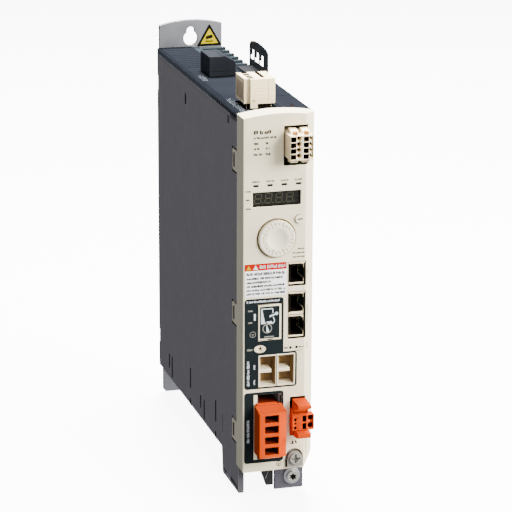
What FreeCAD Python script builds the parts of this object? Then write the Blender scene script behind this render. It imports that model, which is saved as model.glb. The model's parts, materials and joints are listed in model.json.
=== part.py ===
"""Book-format servo drive: a narrow cabinet-mounted housing with plug-in terminals on its front and top.

Frame: millimetres. The origin lies on the back face of the rear plate, midway between its two fixings.
+X is to the right as seen from the front, +Y points into the cabinet wall, +Z is up.
"""
import FreeCAD, Part
import math
import os
import re

import Sketcher

# ---------------------------------------------------------------- driving dimensions (mm)
DIMENSIONS = {
    # housing envelope
    "half_width": 24.0,
    "front_y": -226.7,
    "seam_y": -211.3,
    "top_z": 118.0,
    "floor_z": -112.0,
    "skin": 1.2,
    # rear mounting plate
    "plate_half": 22.25,
    "foot_half": 21.0,
    "plate_thick": 3.0,
    "plate_low": -133.5,
    "plate_shoulder": 133.6,
    "plate_arch": 3.0,
    "plate_corner": 1.8,
    "fixing_z": 129.0,
    "fixing_radius": 2.75,
    "entry_radius": 5.0,
    "entry_z": 123.7,
    # heat sink
    "sink_left": 1.0,
    "sink_base": 5.0,
    "sink_front": -72.0,
    "sink_low": -84.0,
    "sink_top": 117.5,
    "fin_right": 23.4,
    "fin_thick": 3.2,
    "fin_pitch": 11.35,
    "fin_count": 6.0,
    "fin_last_y": -64.95,
    # fan
    "fan_y": -42.0,
    "fan_half": 20.0,
    "fan_low": -110.4,
    "fan_height": 20.0,
    "fan_bore": 18.9,
    "fan_screw_at": 16.0,
    "blade_count": 7.0,
    # side sheets and covers
    "flange_low": -129.5,
    "flange_back": -175.4,
    "flange_front": -216.9,
    "lip_width": 3.7,
    "tab_back": -200.9,
    "tab_height": 13.8,
    "notch_gap": 1.1,
    "tab_top_high": 94.1,
    "tab_top_middle": -5.1,
    "tab_top_low": -83.2,
    "lid_under": 116.3,
    "skirt_low": 112.9,
    "wall": 2.0,
    "cover_arch": 2.4,
    "bevel_x": 16.4,
    "bevel_y": -217.1,
    # front panel openings
    "io_left": 1.9,
    "io_right": 17.8,
    "io_low": 87.0,
    "io_high": 112.0,
    "lamp_z": 75.2,
    "lamp_first_x": -15.95,
    "lamp_pitch": 9.1,
    "window_left": -17.8,
    "window_right": 12.9,
    "window_low": 61.8,
    "window_high": 70.9,
    "dial_x": -2.6,
    "dial_z": 41.1,
    "dial_radius": 12.2,
    "dial_travel": 1.2,
    "button_x": 12.0,
    "button_z": 52.7,
    "button_radius": 2.75,
    "jack_left": 5.4,
    "jack_right": 17.0,
    "jack_low": 9.3,
    "jack_high": 24.9,
    "pair_low": -25.2,
    "pair_high": 5.5,
    "flap_left": -14.4,
    "flap_right": 1.1,
    "flap_low": -25.0,
    "flap_high": -0.6,
    "flap_axis_y": -225.7,
    "flap_axis_z": -2.2,
    "cup_x": -12.9,
    "cup_z": -30.1,
    "bus_left": -14.1,
    "bus_right": 10.1,
    "bus_low": -55.5,
    "bus_high": -34.3,
    "bus_floor": -217.5,
    "motor_left": -14.5,
    "motor_right": 1.3,
    "motor_low": -103.8,
    "motor_high": -60.3,
    "motor_pitch": 7.1,
    "brake_left": 7.0,
    "brake_right": 21.0,
    "brake_low": -90.0,
    "brake_high": -64.0,
    "earth_x": 9.9,
    "earth_z": -104.4,
    "earth_notch": 5.6,
    "sticker_thick": 0.3,
    # plugs
    "plug_gap": 0.4,
    "io_plug_left": 2.6,
    "io_plug_right": 17.2,
    "io_plug_low": 92.7,
    "io_plug_high": 108.1,
    "io_plug_front": -238.0,
    "io_column_x": 4.6,
    "io_column_pitch": 8.1,
    "io_row_z": 94.8,
    "io_row_pitch": 3.65,
    "motor_plug_left": -15.6,
    "motor_plug_right": 1.4,
    "motor_plug_low": -98.6,
    "motor_plug_high": -66.6,
    "motor_plug_front": -239.8,
    "motor_row_z": -94.0,
    "brake_plug_left": 6.7,
    "brake_plug_right": 21.1,
    "brake_plug_low": -84.4,
    "brake_plug_high": -74.2,
    "brake_plug_front": -233.4,
    "brake_pitch": 5.08,
    "lever_left": 8.1,
    "lever_right": 16.9,
    "lever_pin": 0.8,
    "safety_left": -15.3,
    "safety_right": 4.1,
    "safety_back": -177.0,
    "safety_front": -199.0,
    "safety_low": 120.3,
    "safety_high": 136.0,
    "safety_pitch": 5.08,
    "mains_left": -13.5,
    "mains_right": 4.5,
    "mains_back": -82.0,
    "mains_front": -105.0,
    "mains_low": 118.2,
    "mains_high": 131.5,
    # boards and what they carry
    "board_thick": 1.6,
    "control_y": -204.0,
    "power_x": -12.0,
    "tab_x": 22.6,
    "tab_thick": 0.6,
    "shaft_radius": 3.0,
    "running_gap": 0.05,
}

doc = FreeCAD.newDocument("ServoDrive")
sheet = doc.addObject("Spreadsheet::Sheet", "Dims")
for row, (alias, size) in enumerate(DIMENSIONS.items(), start=1):
    sheet.set(f"A{row}", alias)
    sheet.set(f"B{row}", str(size))
    sheet.setAlias(f"B{row}", alias)
doc.recompute()

sub_parts = {}
ALIAS = re.compile(r"\b[a-z][a-z_0-9]*\b")


# ---------------------------------------------------------------- helpers: formulas bound to the sheet
def formula(text):
    """Turn a formula over alias names into one that points at the sheet's cells."""
    return ALIAS.sub(lambda word: "Dims." + word[0] if word[0] in DIMENSIONS else word[0], str(text))


def number(text):
    """The present value of a formula."""
    return float(sheet.evalExpression(formula(text)))


def bind(item, target, text):
    """Let a property follow a formula over the sheet's cells."""
    item.setExpression(target, formula(text))


def bind_place(item, target, place):
    for letter, text in zip("xyz", place):
        bind(item, f"{target}.Base.{letter}", text)


# ---------------------------------------------------------------- helpers: features of one body
AXIS_TURNS = {
    "X": FreeCAD.Rotation(FreeCAD.Vector(0, 1, 0), 90),
    "Y": FreeCAD.Rotation(FreeCAD.Vector(1, 0, 0), -90),
    "Z": FreeCAD.Rotation(),
}


def new_body(label, place=("0", "0", "0")):
    """One sub-part as a PartDesign body; its features are in the body's own coordinates."""
    body = doc.addObject("PartDesign::Body", label)
    body.Label = label
    bind_place(body, "Placement", place)
    sub_parts[label] = body
    return body


def origin_feature(body, role):
    return next(item for item in body.Origin.OriginFeatures if item.Role == role)


def box_feature(body, kind, low, high):
    feature = body.newObject(kind, body.Label + "_block")
    for side, start, end in zip(("Length", "Width", "Height"), low, high):
        bind(feature, side, f"({end}) - ({start})")
    bind_place(feature, "Placement", low)
    return feature


def add_box(body, low, high):
    return box_feature(body, "PartDesign::AdditiveBox", low, high)


def cut_box(body, low, high):
    return box_feature(body, "PartDesign::SubtractiveBox", low, high)


def rod_base(axis, centre, start):
    """Lowest point of a rod's axis: centre gives the two coordinates across the axis, in order."""
    place = list(centre)
    place.insert("XYZ".index(axis), start)
    return place


def rod_feature(body, kind, axis, centre, radius, start, end):
    feature = body.newObject(kind, body.Label + "_round")
    bind(feature, "Radius", radius)
    bind(feature, "Height", f"({end}) - ({start})")
    feature.Placement = FreeCAD.Placement(FreeCAD.Vector(), AXIS_TURNS[axis])
    bind_place(feature, "Placement", rod_base(axis, centre, start))
    return feature


def add_rod(body, axis, centre, radius, start, end):
    return rod_feature(body, "PartDesign::AdditiveCylinder", axis, centre, radius, start, end)


def cut_rod(body, axis, centre, radius, start, end):
    return rod_feature(body, "PartDesign::SubtractiveCylinder", axis, centre, radius, start, end)


def arc_through(start, end, rise):
    """A shallow arc that runs anticlockwise and bulges to the right of the way from start to end."""
    way = end - start
    side = FreeCAD.Vector(way.y, -way.x, 0).normalize()
    return Part.Arc(start, (start + end) * 0.5 + side * rise, end)


def radius_formula(start, end, rise):
    chord = f"((({end[0]}) - ({start[0]}))^2 + (({end[1]}) - ({start[1]}))^2) / 4"
    return f"({chord} + ({rise})^2) / (2 * abs({rise}))"


def ends_at(sketch, spot):
    """Every curve end of the sketch that lies on the spot, as (curve, end) pairs."""
    found = []
    for curve, geometry in enumerate(sketch.Geometry):
        if geometry.StartPoint.isEqual(spot, 1e-5):
            found.append((curve, 1))
        if geometry.EndPoint.isEqual(spot, 1e-5):
            found.append((curve, 2))
    return found


def hold(sketch, kind, where, text):
    """Dimension one curve end, or an arc's radius, with a formula."""
    index = sketch.addConstraint(Sketcher.Constraint(kind, *where, number(text)))
    bind(sketch, f"Constraints[{index}]", text)


def draw_outline(sketch, points, arcs):
    """Closed outline. arcs gives the rise of the edge that leaves a point, by the point's index."""
    spots = [FreeCAD.Vector(number(u), number(v), 0) for u, v in points]
    for index, spot in enumerate(spots):
        following = spots[(index + 1) % len(spots)]
        if index in arcs:
            sketch.addGeometry(arc_through(spot, following, number(arcs[index])), False)
        else:
            sketch.addGeometry(Part.LineSegment(spot, following), False)
    for spot, (u, v) in zip(spots, points):
        first, second = ends_at(sketch, spot)
        sketch.addConstraint(Sketcher.Constraint("Coincident", *first, *second))
        hold(sketch, "DistanceX", (-1, 1, *first), u)
        hold(sketch, "DistanceY", (-1, 1, *first), v)
    for index, rise in arcs.items():
        following = points[(index + 1) % len(points)]
        hold(sketch, "Radius", (index,), radius_formula(points[index], following, rise))


def new_sketch(body, plane, offset):
    sketch = body.newObject("Sketcher::SketchObject", body.Label + "_sketch")
    sketch.AttachmentSupport = (origin_feature(body, plane + "_Plane"), [""])
    sketch.MapMode = "FlatFace"
    bind(sketch, "AttachmentOffset.Base.z", offset)
    return sketch


def prism_feature(body, kind, plane, points, low, high, arcs=None):
    """Pad or Pocket of an outline between two levels. The XZ plane's normal points towards -Y."""
    offset = f"-({high})" if plane == "XZ" else low
    sketch = new_sketch(body, plane, offset)
    draw_outline(sketch, points, arcs or {})
    feature = body.newObject(kind, body.Label + "_prism")
    feature.Profile = sketch
    bind(feature, "Length", f"({high}) - ({low})")
    if kind == "PartDesign::Pocket":
        feature.Reversed = True
    sketch.Visibility = False
    return feature


def add_prism(body, plane, points, low, high, arcs=None):
    return prism_feature(body, "PartDesign::Pad", plane, points, low, high, arcs)


def cut_prism(body, plane, points, low, high, arcs=None):
    return prism_feature(body, "PartDesign::Pocket", plane, points, low, high, arcs)


def cut_slot(body, axis, centre, radius, half_length, start, end):
    """Slot with round ends, long in Z, through a wall square to axis (X or Y)."""
    across, level = centre
    for sign in "-+":
        cut_rod(body, axis, (across, f"{level} {sign} {half_length}"), radius, start, end)
    low = [f"{across} - {radius}", f"{level} - {half_length}"]
    high = [f"{across} + {radius}", f"{level} + {half_length}"]
    position = "XY".index(axis)
    low.insert(position, start)
    high.insert(position, end)
    cut_box(body, low, high)


# ---------------------------------------------------------------- helpers: groups of separate solids
def block(low, high):
    solid = doc.addObject("Part::Box", "block")
    for side, start, end in zip(("Length", "Width", "Height"), low, high):
        bind(solid, side, f"({end}) - ({start})")
    bind_place(solid, "Placement", low)
    return solid


def rod(axis, centre, radius, start, end):
    solid = doc.addObject("Part::Cylinder", "rod")
    bind(solid, "Radius", radius)
    bind(solid, "Height", f"({end}) - ({start})")
    solid.Placement = FreeCAD.Placement(FreeCAD.Vector(), AXIS_TURNS[axis])
    bind_place(solid, "Placement", rod_base(axis, centre, start))
    return solid


def fused(*solids):
    union = doc.addObject("Part::MultiFuse", "joined")
    union.Shapes = list(solids)
    union.Refine = True
    return union


def cut_away(base, tool):
    result = doc.addObject("Part::Cut", "cut")
    result.Base = base
    result.Tool = tool
    return result


def group(label, solids):
    """Several separate solids of one kind as one sub-part."""
    compound = doc.addObject("Part::Compound", label)
    compound.Label = label
    compound.Links = solids
    sub_parts[label] = compound
    return compound


def single(label, solid):
    """One solid made of Part primitives as a sub-part."""
    solid.Label = label
    sub_parts[label] = solid
    return solid


# ---------------------------------------------------------------- mounting and cooling
def make_rear_plate():
    """Aluminium plate with an arched top, a keyhole above and an open slot below."""
    plate = new_body("rear_plate")
    outline = [
        ("-foot_half", "plate_low + plate_corner"),
        ("-foot_half + plate_corner", "plate_low"),
        ("foot_half - plate_corner", "plate_low"),
        ("foot_half", "plate_low + plate_corner"),
        ("foot_half", "floor_z - 1"),
        ("plate_half", "floor_z + 2"),
        ("plate_half", "plate_shoulder"),
        ("-plate_half", "plate_shoulder"),
        ("-plate_half", "floor_z + 2"),
        ("-foot_half", "floor_z - 1"),
    ]
    add_prism(plate, "XZ", outline, "-plate_thick", "0", {6: "plate_arch"})
    cut_rod(plate, "Y", ("0", "entry_z"), "entry_radius", "-plate_thick - 1", "1")
    cut_rod(plate, "Y", ("0", "fixing_z"), "fixing_radius", "-plate_thick - 1", "1")
    cut_box(plate, ("-fixing_radius", "-plate_thick - 1", "entry_z"), ("fixing_radius", "1", "fixing_z"))
    cut_rod(plate, "Y", ("0", "-fixing_z"), "fixing_radius", "-plate_thick - 1", "1")
    cut_box(plate, ("-fixing_radius", "-plate_thick - 1", "plate_low - 1"), ("fixing_radius", "1", "-fixing_z"))


def make_heat_sink():
    """Upright base with a row of fins that run up the right-hand rear corner."""
    sink = new_body("heat_sink")
    add_box(sink, ("sink_left", "sink_front", "sink_low"), ("sink_left + sink_base", "-plate_thick", "sink_top"))
    fin_left = "sink_left + sink_base - 0.1"
    fin_back = "fin_last_y + fin_thick / 2"
    fin_front = "fin_last_y - fin_thick / 2"
    fin = add_box(sink, (fin_left, fin_front, "sink_low"), ("fin_right", fin_back, "sink_top"))
    row = sink.newObject("PartDesign::LinearPattern", "heat_sink_fins")
    row.Originals = [fin]
    row.Direction = (origin_feature(sink, "Y_Axis"), [""])
    bind(row, "Length", "fin_pitch * (fin_count - 1)")
    bind(row, "Occurrences", "fin_count")
    sink.Tip = row


def make_fan_frame():
    """Axial fan frame with a motor seat on four spokes."""
    frame = new_body("fan_frame", ("0", "fan_y", "fan_low"))
    add_box(frame, ("-fan_half", "-fan_half", "0"), ("fan_half", "fan_half", "fan_height"))
    cut_rod(frame, "Z", ("0", "0"), "fan_bore", "-1", "fan_height + 1")
    add_box(frame, ("-fan_bore - 0.3", "-1.4", "1"), ("fan_bore + 0.3", "1.4", "3"))
    add_box(frame, ("-1.4", "-fan_bore - 0.3", "1"), ("1.4", "fan_bore + 0.3", "3"))
    add_rod(frame, "Z", ("0", "0"), "9", "1", "4.4")
    cut_rod(frame, "Z", ("0", "0"), "1.5 + running_gap", "0", "5")
    for across in "-+":
        for along in "-+":
            corner = (f"{across}fan_screw_at", f"{along}fan_screw_at")
            cut_rod(frame, "Z", corner, "1.6", "-1", "8")


def make_fan_rotor():
    """Fan hub on its shaft, with pitched blades."""
    rotor = new_body("fan_rotor", ("0", "fan_y", "fan_low"))
    add_rod(rotor, "Z", ("0", "0"), "8.8", "5", "18")
    add_rod(rotor, "Z", ("0", "0"), "1.5", "1.6", "5.2")
    blade = rotor.newObject("PartDesign::AdditiveBox", "fan_rotor_blade")
    blade.Length = 10.0
    blade.Width = 1.1
    blade.Height = 11.0
    tilt = FreeCAD.Rotation(FreeCAD.Vector(1, 0, 0), 38)
    blade.Placement = FreeCAD.Placement(FreeCAD.Vector(8, 2.6, 6.6), tilt)
    ring = rotor.newObject("PartDesign::PolarPattern", "fan_rotor_blades")
    ring.Originals = [blade]
    ring.Axis = (origin_feature(rotor, "Z_Axis"), [""])
    ring.Angle = 360
    bind(ring, "Occurrences", "blade_count")
    rotor.Tip = ring


def make_fan_guard():
    """Punched finger guard under the fan opening."""
    guard_low = "floor_z - 0.8"
    rings = []
    for radius in (6, 11, 16, 19):
        outer = rod("Z", ("0", "fan_y"), f"{radius} + 0.6", guard_low, "floor_z")
        inner = rod("Z", ("0", "fan_y"), f"{radius} - 0.6", "floor_z - 1.8", "floor_z + 1")
        rings.append(cut_away(outer, inner))
    for turn in (45, 135):
        bar = doc.addObject("Part::Box", "guard_bar")
        bar.Length = 44.0
        bar.Width = 2.4
        bar.Height = 0.8
        way = FreeCAD.Rotation(FreeCAD.Vector(0, 0, 1), turn)
        bar.Placement = FreeCAD.Placement(way.multVec(FreeCAD.Vector(-22, -1.2, 0)), way)
        start = bar.Placement.Base
        bind_place(bar, "Placement", (start.x, f"fan_y + {start.y}", guard_low))
        rings.append(bar)
    ears = [rod("Z", corner, "3", guard_low, "floor_z") for corner in fan_corners()]
    whole = fused(*rings, *ears)
    holes = fused(*[rod("Z", spot, "1.6", "floor_z - 2", "floor_z + 1") for spot in fan_corners()])
    single("fan_guard", cut_away(whole, holes))


def fan_corners():
    return [(f"{a}fan_screw_at", f"fan_y {b} fan_screw_at") for a in "-+" for b in "-+"]


def make_fan_screws():
    """Pan-head screws that hold the guard, the floor panel and the fan together."""
    screws = []
    for corner in fan_corners():
        head = rod("Z", corner, "2.8", "floor_z - 2.6", "floor_z - 0.8")
        shank = rod("Z", corner, "1.6", "floor_z - 1.2", "fan_low + 7")
        screws.append(fused(head, shank))
    group("fan_screws", screws)


# ---------------------------------------------------------------- housing
def tab_tops():
    return ("tab_top_high", "tab_top_middle", "tab_top_low")


def make_left_side_sheet():
    """Bent sheet wall with vents, notches for the cover's hook tabs and a flange below."""
    wall = new_body("left_side_sheet")
    inner = "-half_width + skin"
    outline = [
        ("-2.9", "floor_z"),
        ("-2.9", "skirt_low"),
        ("seam_y + 0.2", "skirt_low"),
        ("seam_y + 0.2", "floor_z - 0.2"),
        ("flange_front", "floor_z - 0.2"),
        ("flange_front", "flange_low"),
        ("flange_back - 2.6", "flange_low"),
        ("flange_back", "floor_z"),
    ]
    add_prism(wall, "YZ", outline, "-half_width", inner)
    lip_low = ("-half_width", "flange_front", "flange_low")
    add_box(wall, lip_low, ("-half_width + lip_width", "flange_front + skin", "floor_z - 0.2"))
    through = ("-half_width - 1", "-half_width + skin + 1")
    for top in tab_tops():
        low = (through[0], "seam_y - 1", f"{top} - tab_height - notch_gap")
        cut_box(wall, low, (through[1], "tab_back + notch_gap", f"{top} + notch_gap"))
    cut_slot(wall, "X", ("-82", "99.2"), "2.4", "1.6", *through)
    vents = ((-33.5, -99.8, 10), (-41.6, -102, 15), (-93.4, -92.7, 14), (-121, -100.3, 8.6),
             (-130.5, -102.6, 13), (-160.4, -93.2, 14.6), (-177.5, -96, 12), (-93, -110, 4.6), (-160, -110, 4.6))
    for along, level, length in vents:
        low = (through[0], f"{along} - 0.8", f"{level} - {length} / 2")
        cut_box(wall, low, (through[1], f"{along} + 0.8", f"{level} + {length} / 2"))
    cut_box(wall, (through[0], "-191.9", "107.6"), (through[1], "-190.5", "skirt_low + 1"))
    for level in (94, -90):
        cut_box(wall, (through[0], "-4.4", f"{level} - 5"), (through[1], "-2", f"{level} + 5"))


def make_right_side_sheet():
    """Sheet wall ahead of the fins, wrapped round the fan duct below them."""
    wall = new_body("right_side_sheet")
    outline = [
        ("-2.9", "floor_z"),
        ("-2.9", "sink_low - 1"),
        ("sink_front - 0.5", "sink_low - 1"),
        ("sink_front - 0.5", "lid_under"),
        ("seam_y + 0.2", "lid_under"),
        ("seam_y + 0.2", "floor_z"),
    ]
    add_prism(wall, "YZ", outline, "half_width - skin", "half_width")
    for index in range(8):
        along = f"-96 - {index} * 9"
        for level in (-92, 92):
            low = ("half_width - skin - 1", f"{along} - 1", f"{level} - 8")
            cut_box(wall, low, ("half_width + 1", f"{along} + 1", f"{level} + 8"))


def make_top_cover():
    """Top panel with a slotted skirt on the left and openings for the mains plug and the safety plug."""
    lid = new_body("top_cover")
    outline = [
        ("-half_width", "seam_y"),
        ("half_width", "seam_y"),
        ("half_width", "sink_front - 0.3"),
        ("sink_left - 0.3", "sink_front - 0.3"),
        ("sink_left - 0.3", "-plate_thick"),
        ("-half_width", "-plate_thick"),
    ]
    add_prism(lid, "XY", outline, "lid_under", "top_z")
    add_opening(lid, ("mains_left - 0.4", "mains_front - 0.4"), ("mains_right + 0.4", "mains_back + 0.4"))
    add_opening(lid, ("safety_left - 0.9", "safety_front - 1"), ("safety_right + 1", "safety_back + 1"))
    add_box(lid, ("-half_width", "seam_y", "skirt_low"), ("-half_width + skin", "-plate_thick", "lid_under + 0.1"))
    for index in range(13):
        along = f"-151.6 - {index} * 4.6"
        low = ("-half_width - 1", f"{along} - 0.8", "skirt_low + 0.7")
        cut_box(lid, low, ("-half_width + skin + 1", f"{along} + 0.8", "lid_under"))


def add_opening(lid, low, high):
    cut_box(lid, (*low, "lid_under - 1"), (*high, "top_z + 1"))


def make_bottom_cover():
    """Floor panel with the fan opening and rows of air slots."""
    floor = new_body("bottom_cover")
    inner = "half_width - skin - 0.1"
    add_box(floor, (f"-({inner})", "seam_y + 0.4", "floor_z"), (inner, "-plate_thick - 0.1", "fan_low"))
    cut_rod(floor, "Z", ("0", "fan_y"), "fan_bore - 0.4", "floor_z - 1", "fan_low + 1")
    for corner in fan_corners():
        cut_rod(floor, "Z", corner, "1.6", "floor_z - 1", "fan_low + 1")
    for index in range(9):
        along = f"-82 - {index} * 11"
        cut_box(floor, ("-17", f"{along} - 1.5", "floor_z - 1"), ("17", f"{along} + 1.5", "fan_low + 1"))


# ---------------------------------------------------------------- front cover and what is printed on it
def front_opening(cover, left, low, right, high):
    cut_box(cover, (left, "front_y - 1", low), (right, "seam_y + 1", high))


def make_front_cover():
    """Moulded front with an arched top, a bevelled right edge and all the front openings."""
    cover = new_body("front_cover")
    plan = [
        ("-half_width", "front_y"),
        ("bevel_x", "front_y"),
        ("half_width", "bevel_y"),
        ("half_width", "seam_y"),
        ("-half_width", "seam_y"),
    ]
    add_prism(cover, "XY", plan, "floor_z", "top_z + 4")
    hollow = [
        ("-half_width + wall", "front_y + wall"),
        ("bevel_x - 1.2", "front_y + wall"),
        ("half_width - wall", "bevel_y + 1"),
        ("half_width - wall", "seam_y + 1"),
        ("-half_width + wall", "seam_y + 1"),
    ]
    cut_prism(cover, "XY", hollow, "floor_z + wall", "lid_under")
    above_arch = [
        ("half_width", "top_z"),
        ("-half_width", "top_z"),
        ("-half_width", "top_z + 6"),
        ("half_width", "top_z + 6"),
    ]
    cut_prism(cover, "XZ", above_arch, "front_y - 1", "seam_y + 1", {0: "cover_arch"})
    corner = [("16", "floor_z"), ("16", "floor_z - 3"), ("half_width + 1", "floor_z - 3"), ("half_width + 1", "-103")]
    cut_prism(cover, "XZ", corner, "front_y - 1", "seam_y + 1")
    for top in tab_tops():
        make_hook_tab(cover, top)
    front_opening(cover, "io_left", "io_low", "io_right", "io_high")
    front_opening(cover, "window_left", "window_low", "window_right", "window_high")
    for left, low, right, high in lamp_slots():
        front_opening(cover, left, low, right, high)
    cut_rod(cover, "Y", ("dial_x", "dial_z"), "dial_radius + 0.4", "front_y - 1", "seam_y + 1")
    cut_rod(cover, "Y", ("button_x", "button_z"), "button_radius + 0.3", "front_y - 1", "seam_y + 1")
    front_opening(cover, "jack_left", "jack_low", "jack_right", "jack_high")
    front_opening(cover, "jack_left", "pair_low", "jack_right", "pair_high")
    front_opening(cover, "flap_left", "flap_low", "flap_right", "flap_high")
    cut_rod(cover, "X", ("flap_axis_y", "flap_axis_z"), "0.6 + running_gap", "flap_left - 0.9", "flap_right + 0.9")
    for along in bus_lamp_places():
        cut_rod(cover, "Y", (along, "-30.8"), "0.9", "front_y - 1", "seam_y + 1")
    front_opening(cover, "cup_x - 1.6", "cup_z - 1.6", "cup_x + 1.6", "cup_z + 1.6")
    front_opening(cover, "bus_left", "bus_low", "bus_right", "bus_high")
    front_opening(cover, "motor_left", "motor_low", "motor_right", "motor_high")
    front_opening(cover, "brake_left", "brake_low", "lever_right + 0.6", "brake_high")
    front_opening(cover, "brake_left", "brake_plug_low - 0.6", "brake_right", "brake_plug_high + 0.6")
    cut_rod(cover, "Y", ("earth_x", "earth_z"), "earth_notch", "front_y - 1", "seam_y + 1")
    front_opening(cover, "earth_x - earth_notch", "floor_z + 1.2", "earth_x + earth_notch", "earth_z")


def make_hook_tab(cover, top):
    """Side tab with a release slot that snaps into a notch of the side sheet."""
    low = f"{top} - tab_height"
    outline = [
        ("tab_back", top),
        ("tab_back", f"{low} + 0.8"),
        ("tab_back - 0.8", low),
        ("seam_y - 1.2", low),
        ("seam_y - 1.2", top),
    ]
    add_prism(cover, "YZ", outline, "-half_width", "-half_width + skin")
    through = ("-half_width - 1", "-half_width + skin + 0.6")
    middle = f"{top} - tab_height / 2"
    cut_box(cover, (through[0], "-206.2", f"{middle} - 4.6"), (through[1], "-203.1", f"{middle} + 4.6"))


def lamp_slots():
    """Four narrow indicator slots above the display."""
    slots = []
    for index in range(4):
        middle = f"lamp_first_x + {index} * lamp_pitch"
        slots.append((f"{middle} - 1.6", "lamp_z - 0.6", f"{middle} + 1.6", "lamp_z + 0.6"))
    return slots


def bus_lamp_places():
    return ("7", "11")


def make_light_pipes():
    """Clear rods that carry the indicator light to the front."""
    pipes = []
    for left, low, right, high in lamp_slots():
        pipes.append(block((left, "front_y - 0.15", low), (right, "control_y", high)))
    for along in bus_lamp_places():
        pipes.append(rod("Y", (along, "-30.8"), "0.9", "front_y - 0.15", "-214"))
    group("light_pipes", pipes)


def make_labels():
    """Thin printed foils on the front and one plain triangular sticker on the rear plate."""
    foil_low = "front_y - sticker_thick"
    terminal = new_body("terminal_label")
    outline = [
        ("-22.9", "-56.4"),
        ("11.2", "-56.4"),
        ("11.2", "-33.2"),
        ("2.3", "-33.2"),
        ("2.3", "2.8"),
        ("-22.9", "2.8"),
    ]
    add_prism(terminal, "XZ", outline, foil_low, "front_y")
    front_opening(terminal, "flap_left", "flap_low", "flap_right", "flap_high")
    front_opening(terminal, "bus_left", "bus_low", "bus_right", "bus_high")
    cut_prism(terminal, "XZ", cup_outline("3.5", "1.8"), "front_y - 1", "seam_y", CUP_ARCS)
    motor = new_body("motor_label")
    add_box(motor, ("-23", foil_low, "-106"), ("2.6", "front_y", "-58.8"))
    front_opening(motor, "-16.9", "motor_low", "motor_right", "motor_high")
    info = new_body("info_label")
    add_box(info, ("-22.9", foil_low, "4.3"), ("4", "front_y", "25.5"))
    triangle = [("4.6", "117.9"), ("21.8", "117.9"), ("13.2", "132.4")]
    sticker = new_body("plate_sticker")
    add_prism(sticker, "XZ", triangle, "-plate_thick - sticker_thick", "-plate_thick")


def make_display():
    """Tinted window behind the front wall and the four-digit module behind it."""
    window_low = ("window_left - 1", "front_y + wall", "window_low - 1")
    window_high = ("window_right + 1", "front_y + wall + 1.2", "window_high + 1")
    single("display_window", block(window_low, window_high))
    module = new_body("display_module")
    low = ("window_left + 1.6", "front_y + wall + 1.2", "window_low + 0.2")
    add_box(module, low, ("window_right - 1.6", "-214", "window_high - 0.2"))
    add_box(module, ("-12", "-214.2", "window_low + 2"), ("8", "control_y", "window_high - 2"))


# ---------------------------------------------------------------- operator controls
def make_dial():
    """Concave jog dial with a ring of finger dimples; it turns on the encoder shaft."""
    dial = new_body("dial", ("dial_x", "0", "dial_z"))
    add_rod(dial, "Y", ("0", "0"), "dial_radius", "-228.9", "-223")
    cut_rod(dial, "Y", ("0", "0"), "6.2", "-230", "-228.3")
    dimple = cut_rod(dial, "Y", ("9.4", "0"), "0.75", "-230", "-228.4")
    ring = dial.newObject("PartDesign::PolarPattern", "dial_dimples")
    ring.Originals = [dimple]
    ring.Axis = (origin_feature(dial, "Y_Axis"), [""])
    ring.Angle = 360
    ring.Occurrences = 24
    dial.Tip = ring
    shaft = new_body("dial_shaft", ("dial_x", "0", "dial_z"))
    add_rod(shaft, "Y", ("0", "0"), "shaft_radius", "-223", "-207.6")


def make_encoder():
    """Push-turn encoder: a fixed can with a bushing, and the slider that the shaft presses."""
    can = new_body("encoder_body", ("dial_x", "0", "dial_z"))
    add_box(can, ("-6.2", "-214", "-6.6"), ("6.2", "control_y", "6.6"))
    add_rod(can, "Y", ("0", "0"), "4.6", "-219", "-213.5")
    cut_box(can, ("-4.3", "-211.5", "-4.3"), ("4.3", "-206", "4.3"))
    cut_rod(can, "Y", ("0", "0"), "shaft_radius + running_gap", "-220", "-206")
    slider = new_body("encoder_slider", ("dial_x", "0", "dial_z"))
    add_box(slider, ("-4", "-210", "-4"), ("4", "-208", "4"))
    cut_rod(slider, "Y", ("0", "0"), "shaft_radius + running_gap", "-211", "-207")


def make_escape_button():
    """Round push button with a collar behind the cover, and its switch."""
    button = new_body("esc_button", ("button_x", "0", "button_z"))
    add_rod(button, "Y", ("0", "0"), "button_radius", "-228", "-220.4")
    add_rod(button, "Y", ("0", "0"), "3.5", "-222", "-220.4")
    add_rod(button, "Y", ("0", "0"), "1.4", "-220.6", "-211.2")
    switch = new_body("esc_switch", ("button_x", "0", "button_z"))
    add_box(switch, ("-3.1", "-207.6", "-3.1"), ("3.1", "control_y", "3.1"))
    add_rod(switch, "Y", ("0", "0"), "1.6", "-210", "-207.5")


# ---------------------------------------------------------------- network jacks
def jack_openings():
    """Lower and upper level of each of the three RJ45 openings."""
    return (("jack_low + 2.5", "jack_high - 1.5"), ("pair_high - 12.9", "pair_high - 1.5"),
            ("pair_low + 2.5", "pair_low + 13.9"))


def cut_jack(jack, low, high):
    """Upright modular socket: a wide mouth with a latch notch through its right side."""
    cut_box(jack, ("jack_left + 0.6", "front_y - 1", low), ("jack_left + 9.5", "-210", high))
    middle = f"(({low}) + ({high})) / 2"
    cut_box(jack, ("jack_left + 9.3", "front_y - 1", f"{middle} - 3.4"), ("jack_right", "-214", f"{middle} + 3.4"))


def add_jack_block(jack, low, high):
    """The block leaves a gap to the cover's opening on its right and underneath."""
    add_box(jack, ("jack_left + 0.1", "front_y - 0.2", f"{low} + 0.9"), ("jack_right - 1", "control_y", f"{high} - 0.1"))


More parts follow.
